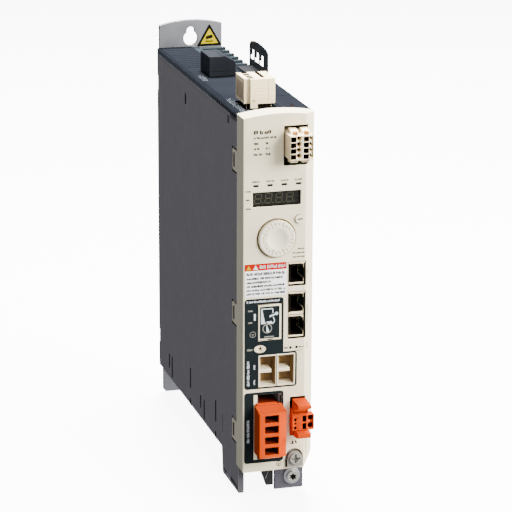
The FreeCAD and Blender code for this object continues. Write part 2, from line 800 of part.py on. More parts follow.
def make_jacks():
    first, second, third = jack_openings()
    one = new_body("rj45_single")
    add_jack_block(one, "jack_low", "jack_high")
    cut_jack(one, *first)
    two = new_body("rj45_dual")
    add_jack_block(two, "pair_low", "pair_high")
    cut_jack(two, *second)
    cut_jack(two, *third)
    seam = "(pair_low + pair_high) / 2 + 0.5"
    cut_box(two, ("jack_left", "front_y - 1", f"{seam} - 0.25"), ("jack_right", "front_y + 0.8", f"{seam} + 0.25"))
    contacts = []
    for low, high in jack_openings():
        for index in range(8):
            level = f"(({low}) + ({high})) / 2 + ({index} - 3.5) * 1.02"
            start = ("jack_left + 0.6", "-221", f"{level} - 0.2")
            contacts.append(block(start, ("jack_left + 1.2", "-210", f"{level} + 0.2")))
    group("jack_contacts", contacts)


# ---------------------------------------------------------------- braking resistor and DC bus
def make_resistor_flap():
    """Hinged cover over the braking resistor terminals, on two short pins at its top edge."""
    flap = new_body("resistor_flap")
    low = ("flap_left + 0.3", "front_y + wall - 0.2", "flap_low + 0.4")
    add_box(flap, low, ("flap_right - 0.3", "flap_axis_y + 1.2", "flap_axis_z + 0.6"))
    add_box(flap, ("flap_left + 0.3", "front_y - 0.4", "flap_low + 0.4"),
            ("flap_right - 0.3", "front_y + wall", "flap_axis_z + 0.6"))
    add_rod(flap, "X", ("flap_axis_y", "flap_axis_z"), "0.6", "flap_left - 0.8", "flap_right + 0.8")
    frame = 1.5
    cut_box(flap, (f"flap_left + 0.3 + {frame}", "front_y - 1", f"flap_low + 0.4 + {frame}"),
            (f"flap_right - 0.3 - {frame}", "front_y", f"flap_axis_z + 0.6 - {frame}"))
    cut_box(flap, ("-8.6", "front_y - 1", "flap_low"), ("-4.6", "front_y + 1", "flap_low + 1"))


def make_resistor_terminal():
    """Two-pole clamp behind the flap."""
    terminal = new_body("resistor_terminal")
    add_box(terminal, ("-12.6", "-222.4", "-23.4"), ("-0.7", "control_y", "-3.4"))
    for level in ("-18.4", "-8.4"):
        cut_box(terminal, ("-11.4", "-223", f"{level} - 3.6"), ("-6.8", "-212", f"{level} + 3.6"))
        cut_rod(terminal, "Y", ("-3.6", level), "1.9", "-223", "-214")


CUP_ARCS = {0: "1.1", 1: "0.8", 2: "1.1", 3: "0.8"}


def cup_outline(half_width, half_height):
    """Corners of the oval round the flap lock; arcs join them."""
    signs = (("-", "-"), ("+", "-"), ("+", "+"), ("-", "+"))
    return [(f"cup_x {across} {half_width}", f"cup_z {level} {half_height}") for across, level in signs]


def make_flap_lock_cup():
    """White oval cup in the label with a square hole for a screwdriver."""
    cup = new_body("flap_lock_cup")
    add_prism(cup, "XZ", cup_outline("3.4", "1.7"), "front_y - 0.5", "front_y", CUP_ARCS)
    add_box(cup, ("cup_x - 1.6", "front_y", "cup_z - 1.6"), ("cup_x + 1.6", "-218", "cup_z + 1.6"))
    cut_rod(cup, "Y", ("cup_x", "cup_z"), "1.2", "front_y - 1", "-220")


def make_dc_bus():
    """Two tall DC bus sockets, each with a keying tongue at mid-height and a blade above and below it."""
    header = new_body("dc_bus_header")
    add_box(header, ("bus_left + 0.1", "front_y - 0.5", "bus_low + 0.1"), ("bus_right - 0.1", "-206", "bus_high - 0.1"))
    middle = "(bus_low + bus_high) / 2"
    levels = (("bus_low + 3.6", f"{middle} - 3"), (f"{middle} + 3", "bus_high - 3.6"))
    blades = []
    for offset in (1, 13):
        left = f"bus_left + {offset}"
        low = (left, "front_y - 1", "bus_low + 1")
        cut_box(header, low, (f"{left} + 10.2", "bus_floor", "bus_high - 1"))
        tongue_low = (f"{left} - 0.1", "front_y - 0.2", f"{middle} - 1.2")
        add_box(header, tongue_low, (f"{left} + 7.6", "bus_floor + 0.1", f"{middle} + 1.2"))
        for start, end in levels:
            blade_low = (f"{left} + 0.5", "-224", start)
            cut_box(header, (blade_low[0], "front_y", start), (f"{left} + 1.5", "bus_floor + 5", end))
            blades.append(block(blade_low, (f"{left} + 1.5", "bus_floor + 5", end)))
    group("dc_bus_contacts", blades)


# ---------------------------------------------------------------- headers (fixed) and plugs (pull off)
def shroud(label, low, high, base, wall, side):
    """Open box: an outer block with a cavity that leaves a floor. side tells which way it opens."""
    header = new_body(label)
    add_box(header, low, high)
    cavity_low = [f"{value} + {wall}" for value in low]
    cavity_high = [f"{value} - {wall}" for value in high]
    if side == "front":
        cavity_low[1] = f"{low[1]} - 1"
        cavity_high[1] = base
    else:
        cavity_low[2] = base
        cavity_high[2] = f"{high[2]} + 1"
    cut_box(header, cavity_low, cavity_high)
    return header


def io_places():
    """The eight I/O poles: two columns of four."""
    columns = [f"io_column_x + {index} * io_column_pitch" for index in range(2)]
    rows = [f"io_row_z + {index} * io_row_pitch" for index in range(4)]
    return [(column, level) for column in columns for level in rows]


def motor_levels():
    return [f"motor_row_z + {index} * motor_pitch" for index in range(4)]


def brake_levels():
    middle = "(brake_plug_low + brake_plug_high) / 2"
    return [f"{middle} - brake_pitch / 2", f"{middle} + brake_pitch / 2"]


def safety_places():
    """The eight poles of the safety plug: two rows of four along Y."""
    rows = [f"safety_back - 3.4 - {index} * safety_pitch" for index in range(4)]
    return [(column, along) for column in ("-10.2", "-0.4") for along in rows]


def mains_places():
    return [("-4.5", f"mains_back - 4.5 - {index} * 7") for index in range(3)]


def make_headers():
    """Fixed pin headers, each an open box on a board, behind the plugs."""
    shroud("io_header", ("io_left + 0.2", "-222", "io_low + 0.4"), ("io_right - 0.2", "control_y", "io_high - 0.4"),
           "-206", "0.9", "front")
    shroud("motor_header", ("motor_left + 0.1", "-224", "motor_low + 0.2"),
           ("motor_right - 0.1", "-190", "motor_high - 0.2"), "-206", "1.1", "front")
    shroud("brake_header", ("brake_left + 0.1", "-217", "-86.6"), ("brake_right - 0.1", "-199", "-72"),
           "-203", "1", "front")
    shroud("safety_header", ("safety_left - 0.6", "safety_front - 0.6", "96.2"),
           ("safety_right + 0.7", "safety_back + 0.6", "lid_under"), "100", "1", "top")
    shroud("mains_header", ("mains_left - 0.3", "mains_front - 0.3", "98"),
           ("mains_right + 0.3", "mains_back + 0.3", "lid_under"), "102", "0.9", "top")
    pins = [rod("Y", place, "0.5", "-214", "-206") for place in io_places()]
    pins += [rod("Y", ("-6.6", level), "0.9", "-216", "-206") for level in motor_levels()]
    pins += [rod("Y", ("14", level), "0.6", "-211", "-203") for level in brake_levels()]
    pins += [rod("Z", place, "0.6", "100", "108") for place in safety_places()]
    pins += [rod("Z", place, "0.9", "102", "110") for place in mains_places()]
    group("connector_pins", pins)


def make_io_plug():
    """Eight-pole plug with a wire hole and a release slot per pole and two latches above and below."""
    plug = new_body("io_plug")
    add_box(plug, ("io_plug_left", "io_plug_front", "io_plug_low"), ("io_plug_right", "-223", "io_plug_high"))
    add_box(plug, ("3.5", "-223.2", "io_plug_low + 0.3"), ("16.2", "-207", "io_plug_high - 0.3"))
    for column, level in io_places():
        cut_box(plug, (f"{column} - 1.7", "io_plug_front - 1", f"{level} - 1.5"),
                (f"{column} + 1.7", "io_plug_front + 7", f"{level} + 1.5"))
        cut_rod(plug, "Y", (f"{column} + 3.3", f"{level} + 0.8"), "1.3", "io_plug_front - 1", "io_plug_front + 5")
        cut_rod(plug, "Y", (column, level), "0.8", "-215", "-206")
    for left in ("4.2", "11.4"):
        right = f"{left} + 4.6"
        upper = [("-227", "io_plug_high"), ("-227", "io_plug_high + 2.9"), ("-233", "io_plug_high + 2.4"),
                 ("-236", "io_plug_high")]
        add_prism(plug, "YZ", raise_outline(upper, 0), left, right)
        lower = [("-227", "io_plug_low"), ("-236", "io_plug_low"), ("-233", "io_plug_low - 2.6"),
                 ("-227", "io_plug_low - 3")]
        add_prism(plug, "YZ", raise_outline(lower, 0), left, right)


def raise_outline(points, height):
    return [(across, f"{level} + {height}") for across, level in points]


def make_motor_plug():
    """Four-pole power plug with square wire windows, a sloped top and a bevelled right side."""
    plug = new_body("motor_plug")
    head_back = "front_y - 0.7"
    plan = [
        ("motor_plug_left", head_back),
        ("motor_plug_left", "motor_plug_front"),
        ("motor_plug_right - 5", "motor_plug_front"),
        ("motor_plug_right", "motor_plug_front + 2"),
        ("motor_plug_right", head_back),
    ]
    add_prism(plug, "XY", plan, "motor_plug_low", "motor_plug_high")
    slope = [
        ("motor_plug_front - 1", "motor_plug_high - 2.7"),
        (head_back, "motor_plug_high - 0.2"),
        (head_back, "motor_plug_high + 1"),
        ("motor_plug_front - 1", "motor_plug_high + 1"),
    ]
    cut_prism(plug, "YZ", slope, "motor_plug_left - 1", "motor_plug_right + 1")
    add_box(plug, ("-12.9", "front_y - 1", "-98"), ("-0.3", "-207", "motor_plug_high - 0.2"))
    clamps = []
    for level in motor_levels():
        window_low = ("-13", "motor_plug_front - 1", f"{level} - 2.3")
        cut_box(plug, window_low, ("-4.2", "motor_plug_front + 11.3", f"{level} + 2.3"))
        cut_rod(plug, "Y", ("-6.6", level), "1.2", "-217", "-206")
        clamp_low = ("-11", "motor_plug_front + 9.3", f"{level} - 1.6")
        clamps.append(block(clamp_low, ("-6", "motor_plug_front + 11.3", f"{level} + 1.6")))
    group("motor_plug_clamps", clamps)


def make_brake_plug():
    """Two-pole plug with wire holes, release slots and lugs for its two levers."""
    plug = new_body("brake_plug")
    head_back = "front_y - 0.6"
    add_box(plug, ("brake_plug_left", "brake_plug_front", "brake_plug_low"),
            ("brake_plug_right", head_back, "brake_plug_high"))
    add_box(plug, ("8.6", "front_y - 0.8", "brake_plug_low + 0.4"), ("19.4", "-204", "brake_plug_high - 0.4"))
    for level in brake_levels():
        cut_rod(plug, "Y", ("18.4", f"{level} + 0.6"), "1.75", "brake_plug_front - 1", "brake_plug_front + 6")
        cut_box(plug, ("13.4", "brake_plug_front - 1", f"{level} - 2"),
                ("15.8", "brake_plug_front + 6", f"{level} + 2"))
        cut_rod(plug, "Y", ("14", level), "0.9", "-212", "-203")
    for level, radius in (("-82.4", "0.9"), ("-79.6", "0.65"), ("-76.9", "0.9")):
        cut_rod(plug, "Y", ("8.5", level), radius, "brake_plug_front - 1", "brake_plug_front + 3")
    for left in ("lever_left - 1.1", "lever_right + 0.3"):
        right = f"{left} + 0.8"
        add_box(plug, (left, "-230.6", "brake_plug_high - 0.2"), (right, head_back, "-70.6"))
        add_box(plug, (left, "-231.2", "-88.2"), (right, head_back, "brake_plug_low + 0.2"))
    for along, level in (lever_pivots()):
        cut_rod(plug, "X", (along, level), "lever_pin + running_gap", "lever_left - 2", "lever_right + 2")


def lever_pivots():
    """Pin axes of the upper and the lower lever, as (y, z)."""
    return (("-229", "-72.1"), ("-229.4", "-86.5"))


def make_brake_levers():
    """Two release levers on pins; their tabs reach forward above and below the plug."""
    upper = new_body("brake_lever_upper")
    outline = [
        ("-227.7", "-73.1"),
        ("-227.7", "-64.6"),
        ("-241", "-65.4"),
        ("-241", "-67.8"),
        ("-231.6", "-67.6"),
        ("-230.2", "-73.1"),
    ]
    add_prism(upper, "YZ", outline, "lever_left", "lever_right")
    lower = new_body("brake_lever_lower")
    outline = [
        ("-228", "-85.3"),
        ("-234", "-85.3"),
        ("-235.5", "-83.8"),
        ("-241", "-83.8"),
        ("-241", "-87"),
        ("-234", "-88.4"),
        ("-228", "-88.4"),
    ]
    add_prism(lower, "YZ", outline, "lever_left", "lever_right")
    for lever, pivot in zip((upper, lower), lever_pivots()):
        add_rod(lever, "X", pivot, "lever_pin", "lever_left - 1", "lever_right + 1")


def make_safety_plug():
    """Eight-pole plug on the top: a stepped body with wire slots, a groove and a front tongue."""
    plug = new_body("safety_plug")
    add_box(plug, ("safety_left + 3.5", "safety_front", "safety_low"), ("safety_right", "safety_back", "safety_high"))
    add_box(plug, ("safety_left", "safety_front + 2.5", "safety_low"),
            ("safety_left + 3.8", "safety_back", "safety_high"))
    add_box(plug, ("safety_left + 3.5", "safety_front", "top_z - 0.6"),
            ("safety_left + 8.2", "safety_front + 1.2", "safety_low + 0.2"))
    add_box(plug, ("-13.4", "-194.8", "101"), ("2.8", "-179.2", "safety_low + 0.2"))
    for index in range(4):
        along = f"safety_back - 2.1 - {index} * safety_pitch"
        cut_box(plug, ("-12", f"{along} - 1.4", "safety_high - 8"), ("-9", f"{along} + 1.4", "safety_high + 1"))
    cut_box(plug, ("-3.4", "safety_front + 5", "safety_high - 2.5"), ("-1.6", "safety_back + 1", "safety_high + 1"))
    for place in safety_places():
        cut_rod(plug, "Z", place, "0.9", "100", "109")


def make_mains_plug():
    """Dark three-pole mains plug on the top, with a sloped upper right edge and a narrower foot."""
    plug = new_body("mains_plug")
    profile = [
        ("mains_left", "mains_low"),
        ("mains_right", "mains_low"),
        ("mains_right", "mains_high - 4"),
        ("mains_right - 7", "mains_high"),
        ("mains_left", "mains_high"),
    ]
    add_prism(plug, "XZ", profile, "mains_front", "mains_back")
    add_box(plug, ("-12.4", "-103.9", "103"), ("3.4", "-83.1", "mains_low + 0.2"))
    for column, along in mains_places():
        cut_box(plug, ("-5.6", f"{along} - 1.2", "mains_high - 6"), ("-3.2", f"{along} + 1.2", "mains_high + 1"))
        cut_rod(plug, "Z", (column, along), "1.2", "102", "111")


# ---------------------------------------------------------------- earthing and cable fixing
def make_shield_tab():
    """Black upright tab with three hooked slots for cable ties."""
    tab = new_body("shield_tab")
    outline = [
        ("-72.8", "top_z"),
        ("-117.2", "top_z"),
        ("-117.2", "top_z + 16.2"),
        ("-113", "top_z + 17.7"),
        ("-104", "top_z + 18.6"),
        ("-95", "top_z + 18.9"),
        ("-85", "top_z + 18.5"),
        ("-76", "top_z + 16.8"),
        ("-72.8", "top_z + 14.8"),
    ]
    add_prism(tab, "YZ", outline, "tab_x", "tab_x + tab_thick")
    add_box(tab, ("12", "-111", "top_z"), ("tab_x + 0.2", "-81", "top_z + skin"))
    through = ("tab_x - 1", "tab_x + tab_thick + 1")
    for front, bar, hook in ((-84.3, -79.4, -75.6), (-95.6, -90.4, -86.2), (-106.9, -101.4, -97.2)):
        cut_box(tab, (through[0], str(front), "top_z + 5.2"), (through[1], str(bar), "top_z + 12"))
        cut_box(tab, (through[0], str(front), "top_z + 5.2"), (through[1], str(hook), "top_z + 8"))


def make_ground_bracket():
    """Bare steel angle under the front with its washer, screw and the black cable guide beside it."""
    bracket = new_body("ground_bracket")
    add_box(bracket, ("0.4", "-215", "-130"), ("19.4", "-213", "floor_z - 0.2"))
    add_box(bracket, ("0.4", "-213.2", "floor_z - 2.2"), ("19.4", "-188", "floor_z - 0.2"))
    cut_rod(bracket, "Y", ("11.9", "-121.4"), "2.6", "-216", "-212")
    washer = new_body("ground_washer")
    add_rod(washer, "Y", ("11.9", "-121.4"), "5.5", "-216", "-215")
    cut_rod(washer, "Y", ("11.9", "-121.4"), "2.6", "-217", "-214")
    screw = new_body("ground_screw")
    add_rod(screw, "Y", ("11.9", "-121.4"), "2.6", "-216.2", "-206")
    add_rod(screw, "Y", ("11.9", "-121.4"), "3.8", "-218.4", "-216")
    cut_socket(screw, "11.9", "-121.4", "-219", "-216.6")
    guide = new_body("cable_guide")
    outline = [("-9.8", "floor_z - 0.2"), ("-4.5", "-127.6"), ("0.3", "-127.6"), ("0.3", "floor_z - 0.2")]
    add_prism(guide, "XZ", outline, "-213", "-210.6")
    add_box(guide, ("-9", "-211", "floor_z - 2"), ("0.3", "-192", "floor_z - 0.2"))


def cut_socket(screw, across, level, start, end):
    """Six-pointed drive socket as two crossed three-sided outlines."""
    for turn in (0, 60):
        outline = []
        for corner in range(3):
            angle = math.radians(turn + 120 * corner + 90)
            outline.append((f"{across} + {2.7 * math.cos(angle):.4f}", f"{level} + {2.7 * math.sin(angle):.4f}"))
        cut_prism(screw, "XZ", outline, start, end)


def make_earth_terminal():
    """Tall earth screw in the cover's arched notch and the bar that it threads into."""
    bar = new_body("pe_bar")
    add_box(bar, ("earth_x - 6.4", "-216", "floor_z + 2.2"), ("earth_x + 6.4", "-206", "-94"))
    cut_rod(bar, "Y", ("earth_x", "earth_z"), "2.5", "-217", "-205")
    screw = new_body("pe_screw")
    add_rod(screw, "Y", ("earth_x", "earth_z"), "2.5", "-218.2", "-207")
    add_rod(screw, "Y", ("earth_x", "earth_z"), "5", "-224.6", "-218")
    add_rod(screw, "Y", ("earth_x", "earth_z"), "3.7", "-230.6", "-224.4")
    cut_box(screw, ("earth_x - 3", "-232", "earth_z - 0.5"), ("earth_x + 3", "-228.6", "earth_z + 0.5"))
    cut_box(screw, ("earth_x - 0.5", "-232", "earth_z - 3"), ("earth_x + 0.5", "-228.6", "earth_z + 3"))


# ---------------------------------------------------------------- boards and power parts inside
def make_boards():
    """Power board on the heat sink side and control board behind the front."""
    board = new_body("power_board")
    add_box(board, ("power_x", "-186", "-86"), ("power_x + board_thick", "-8", "96"))
    for along, level in (("-14", "90"), ("-14", "-80"), ("-180", "90"), ("-180", "-80")):
        cut_rod(board, "X", (along, level), "1.6", "power_x - 1", "power_x + 3")
    control = new_body("control_board")
    add_box(control, ("-22", "control_y", "-30"), ("22", "control_y + board_thick", "112"))
    for across, level in standoff_places():
        cut_rod(control, "Y", (across, level), "1.6", "control_y - 1", "control_y + 3")
    pillars = []
    for across, level in standoff_places():
        end = "-216.4" if across == "19.4" else "front_y + wall"
        pillar = rod("Y", (across, level), "2", end, "control_y")
        pillars.append(fused(pillar, rod("Y", (across, level), "1.6", "control_y - 1", "control_y + 2.6")))
    group("board_standoffs", pillars)


def standoff_places():
    return (("-19.4", "108"), ("-19.4", "30"), ("-19.4", "-26"), ("19.4", "80"), ("19.4", "-26"))


def make_power_parts():
    """Power module on the heat sink, DC link capacitors, filter choke and supply transformer."""
    side = "power_x + board_thick"
    module = new_body("power_module")
    add_box(module, (side, "-64", "-30"), ("sink_left", "-18", "60"))
    for level in ("-25", "55"):
        cut_rod(module, "X", ("-41", level), "2.2", "power_x", "sink_left + 1")
    cans = []
    for along in ("-96", "-123"):
        for level in ("62", "35", "8"):
            cans.append(rod("X", (along, level), "12.6", side, "18"))
    group("bus_capacitors", cans)
    ring = doc.addObject("Part::Torus", "choke_core")
    ring.Radius1 = 11.0
    ring.Radius2 = 4.6
    ring.Placement = FreeCAD.Placement(FreeCAD.Vector(), AXIS_TURNS["X"])
    bind_place(ring, "Placement", (f"{side} + 4.6", "-96", "-32"))
    single("choke", ring)
    transformer = new_body("transformer")
    add_box(transformer, (side, "-176", "-30"), ("8", "-152", "-4"))
    add_box(transformer, (f"{side} + 3", "-179", "-26"), ("5", "-149", "-8"))


def check_model():
    """Stop with a plain message if a feature failed, a cut removed nothing or a sub-part isn't sound."""
    doc.recompute()
    for item in doc.Objects:
        if "Invalid" in item.State or "Error" in item.State:
            raise RuntimeError(f"{item.Label} failed: {item.State}")
    for body in sub_parts.values():
        if body.TypeId != "PartDesign::Body":
            continue
        before = None
        for feature in body.Group:
            if not feature.isDerivedFrom("PartDesign::Feature"):
                continue
            after = feature.Shape.Volume
            is_cut = feature.isDerivedFrom("PartDesign::Pocket") or "Subtractive" in feature.TypeId
            if is_cut and after > before - 1e-6:
                raise RuntimeError(f"{feature.Name} of {body.Label} cuts nothing")
            before = after
    for label, item in sub_parts.items():
        if item.Shape.isNull() or not item.Shape.isValid():
            raise RuntimeError(f"{label} is not a valid shape")


make_rear_plate()
make_heat_sink()
make_fan_frame()
make_fan_rotor()
make_fan_guard()
make_fan_screws()
make_left_side_sheet()
make_right_side_sheet()
make_top_cover()
make_bottom_cover()
make_front_cover()
make_light_pipes()
make_labels()
make_display()
make_dial()
make_encoder()
make_escape_button()
make_jacks()
make_resistor_flap()
make_resistor_terminal()
make_flap_lock_cup()
make_dc_bus()
make_headers()
make_io_plug()
make_motor_plug()
make_brake_plug()
make_brake_levers()
make_safety_plug()
make_mains_plug()
make_shield_tab()
make_ground_bracket()
make_earth_terminal()
make_boards()
make_power_parts()
check_model()

os.makedirs("parts", exist_ok=True)
for label, item in sub_parts.items():
    item.Shape.exportStep(f"parts/{label}.step")
print(len(sub_parts), "sub-parts written")
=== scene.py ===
"""Looks of the servo drive: rounded shapes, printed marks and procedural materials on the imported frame."""
import json
import math
import random

import bmesh
import bpy
from mathutils import Matrix, Vector


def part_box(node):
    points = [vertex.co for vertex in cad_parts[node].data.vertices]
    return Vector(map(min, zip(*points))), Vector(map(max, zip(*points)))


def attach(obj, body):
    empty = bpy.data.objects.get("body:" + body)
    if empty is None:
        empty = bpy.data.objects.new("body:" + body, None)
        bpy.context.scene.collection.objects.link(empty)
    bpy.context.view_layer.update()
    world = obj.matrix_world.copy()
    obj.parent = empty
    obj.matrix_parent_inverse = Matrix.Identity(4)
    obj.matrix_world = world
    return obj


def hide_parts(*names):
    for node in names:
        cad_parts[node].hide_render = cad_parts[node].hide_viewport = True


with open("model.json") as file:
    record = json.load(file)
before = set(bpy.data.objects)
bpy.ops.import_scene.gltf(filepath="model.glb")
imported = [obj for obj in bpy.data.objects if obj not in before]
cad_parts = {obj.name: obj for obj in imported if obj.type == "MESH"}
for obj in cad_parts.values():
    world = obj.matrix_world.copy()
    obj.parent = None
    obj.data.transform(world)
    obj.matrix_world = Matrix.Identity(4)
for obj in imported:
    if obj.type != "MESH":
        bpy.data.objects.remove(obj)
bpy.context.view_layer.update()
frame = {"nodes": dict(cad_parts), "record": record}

MM = 0.001
NODES = frame["nodes"]
BODIES = frame["record"]["behaviour"]["bodies"]
BODY_OF = {node: body for body, members in BODIES.items() for node in members}
# Edges that turn further than this are rounded.
SHARP = math.radians(35)
# How far foils and print stand out, in millimetres: paper and dark foils, then fine, plain and bold strokes.
PAPER, FOIL, FLAP_FOIL = 0.2, 0.3, 0.44
FINE, STROKE, BOLD = 0.04, 0.05, 0.06
# How wide the patches of a finish are, in millimetres: tone of plastic, its gloss, and tone of metal.
CLOUD, GLOSS_CLOUD, METAL_CLOUD = 22, 6, 14


def span(node):
    """Lowest and highest corner of a node, in millimetres."""
    return [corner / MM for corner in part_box(node)]


# The front face, the seam between cover and lid, the top and the left wall, in millimetres.
FRONT = span("front_cover")[0].y
SEAM = span("top_cover")[0].y
TOP = span("top_cover")[1].z
SIDE = span("left_side_sheet")[0].x


# --- materials
def linear(red, green, blue):
    """Screen colour (0 to 255) as linear light."""
    def channel(value):
        value = value / 255
        return value / 12.92 if value <= 0.04045 else ((value + 0.055) / 1.055) ** 2.4
    return (channel(red), channel(green), channel(blue), 1.0)


def scaled(colour, factor):
    """A colour made darker or paler."""
    return tuple(min(1.0, part * factor) for part in colour[:3]) + (1.0,)


class Surface:
    """Builds one procedural material step by step round a Principled shader."""

    def __init__(self, name, metallic=0.0, specular=0.5):
        self.material = bpy.data.materials.new(name)
        self.material.use_nodes = True
        self.tree = self.material.node_tree
        self.shader = self.tree.nodes["Principled BSDF"]
        self.shader.inputs["Metallic"].default_value = metallic
        self.shader.inputs["Specular IOR Level"].default_value = specular
        self.place = self.node("ShaderNodeTexCoord").outputs["Object"]

    def node(self, kind, **settings):
        made = self.tree.nodes.new(kind)
        for name, value in settings.items():
            setattr(made, name, value)
        return made

    def link(self, output, target):
        self.tree.links.new(output, target)

    def stretched(self, stretch):
        """Object coordinates in millimetres, scaled along each axis."""
        mapping = self.node("ShaderNodeMapping")
        mapping.inputs["Scale"].default_value = [1000 * part for part in stretch]
        self.link(self.place, mapping.inputs["Vector"])
        return mapping.outputs["Vector"]

    def noise(self, size, stretch=(1, 1, 1), detail=3.0, roughness=0.55):
        """Noise whose lumps are about size millimetres across."""
        made = self.node("ShaderNodeTexNoise")
        made.inputs["Scale"].default_value = 1 / size
        made.inputs["Detail"].default_value = detail
        made.inputs["Roughness"].default_value = roughness
        self.link(self.stretched(stretch), made.inputs["Vector"])
        return made.outputs["Fac"]

    def ranged(self, value, low, high, start=0.3, end=0.7):
        made = self.node("ShaderNodeMapRange")
        made.inputs["From Min"].default_value = start
        made.inputs["From Max"].default_value = end
        made.inputs["To Min"].default_value = low
        made.inputs["To Max"].default_value = high
        self.link(value, made.inputs["Value"])
        return made.outputs["Result"]

    def blended(self, factor, first, second):
        """Mix of two colours, each a plain colour or a node output."""
        made = self.node("ShaderNodeMix", data_type="RGBA")
        self.link(factor, made.inputs["Factor"])
        for name, colour in (("A", first), ("B", second)):
            socket = [item for item in made.inputs if item.name == name and item.type == "RGBA"][0]
            if isinstance(colour, tuple):
                socket.default_value = colour
            else:
                self.link(colour, socket)
        return [item for item in made.outputs if item.type == "RGBA"][0]

    def bump(self, height, depth, strength=0.5):
        """Bump of that many millimetres."""
        made = self.node("ShaderNodeBump")
        made.inputs["Strength"].default_value = strength
        made.inputs["Distance"].default_value = depth * MM
        self.link(height, made.inputs["Height"])
        self.link(made.outputs["Normal"], self.shader.inputs["Normal"])

    def edges(self, width):
        """1 on outer edges, 0 on flats, from how far a rounded normal leans."""
        soft = self.node("ShaderNodeBevel", samples=4)
        soft.inputs["Radius"].default_value = width * MM
        flat = self.node("ShaderNodeNewGeometry")
        lean = self.node("ShaderNodeVectorMath", operation="DOT_PRODUCT")
        self.link(soft.outputs["Normal"], lean.inputs[0])
        self.link(flat.outputs["Normal"], lean.inputs[1])
        return self.ranged(lean.outputs["Value"], 1.0, 0.0, 0.80, 0.99)


def moulded(name, colour, spread, rough, grain, depth, specular, edge_paling=0.0):
    """Moulded plastic or paint: cloudy tone, fine spark-eroded grain, slightly paler edges."""
    surface = Surface(name, specular=specular)
    cloud = surface.noise(CLOUD, detail=2.0)
    fine = surface.noise(grain, detail=2.0)
    dark, pale = scaled(colour, 1 - spread), scaled(colour, 1 + spread)
    tone = surface.blended(surface.ranged(cloud, 0, 1), dark, pale)
    tone = surface.blended(surface.ranged(fine, 0, 0.35), tone, scaled(colour, 1 - 1.6 * spread))
    if edge_paling:
        rim = surface.edges(0.35)
        tone = surface.blended(surface.ranged(rim, 0, edge_paling, 0, 1), tone, scaled(colour, 1.0 + 6 * edge_paling))
    surface.link(tone, surface.shader.inputs["Base Color"])
    surface.link(surface.ranged(surface.noise(GLOSS_CLOUD), *rough), surface.shader.inputs["Roughness"])
    surface.bump(fine, depth)
    return surface.material


def metal(name, colour, rough, size, depth=0.01, spread=0.08, metallic=1.0, stretch=(1, 1, 1)):
    """Metal with a grain that may be drawn out along an axis, and faint handling marks."""
    surface = Surface(name, metallic=metallic)
    grain = surface.noise(size, stretch, detail=4.0, roughness=0.7)
    cloud = surface.noise(METAL_CLOUD, detail=3.0)
    dark, pale = scaled(colour, 1 - spread), scaled(colour, 1 + spread)
    tone = surface.blended(surface.ranged(grain, 0, 1), dark, pale)
    tone = surface.blended(surface.ranged(cloud, 0, 0.5), tone, scaled(colour, 1 - 1.5 * spread))
    surface.link(tone, surface.shader.inputs["Base Color"])
    surface.link(surface.ranged(cloud, *rough), surface.shader.inputs["Roughness"])
    surface.bump(grain, depth)
    return surface.material


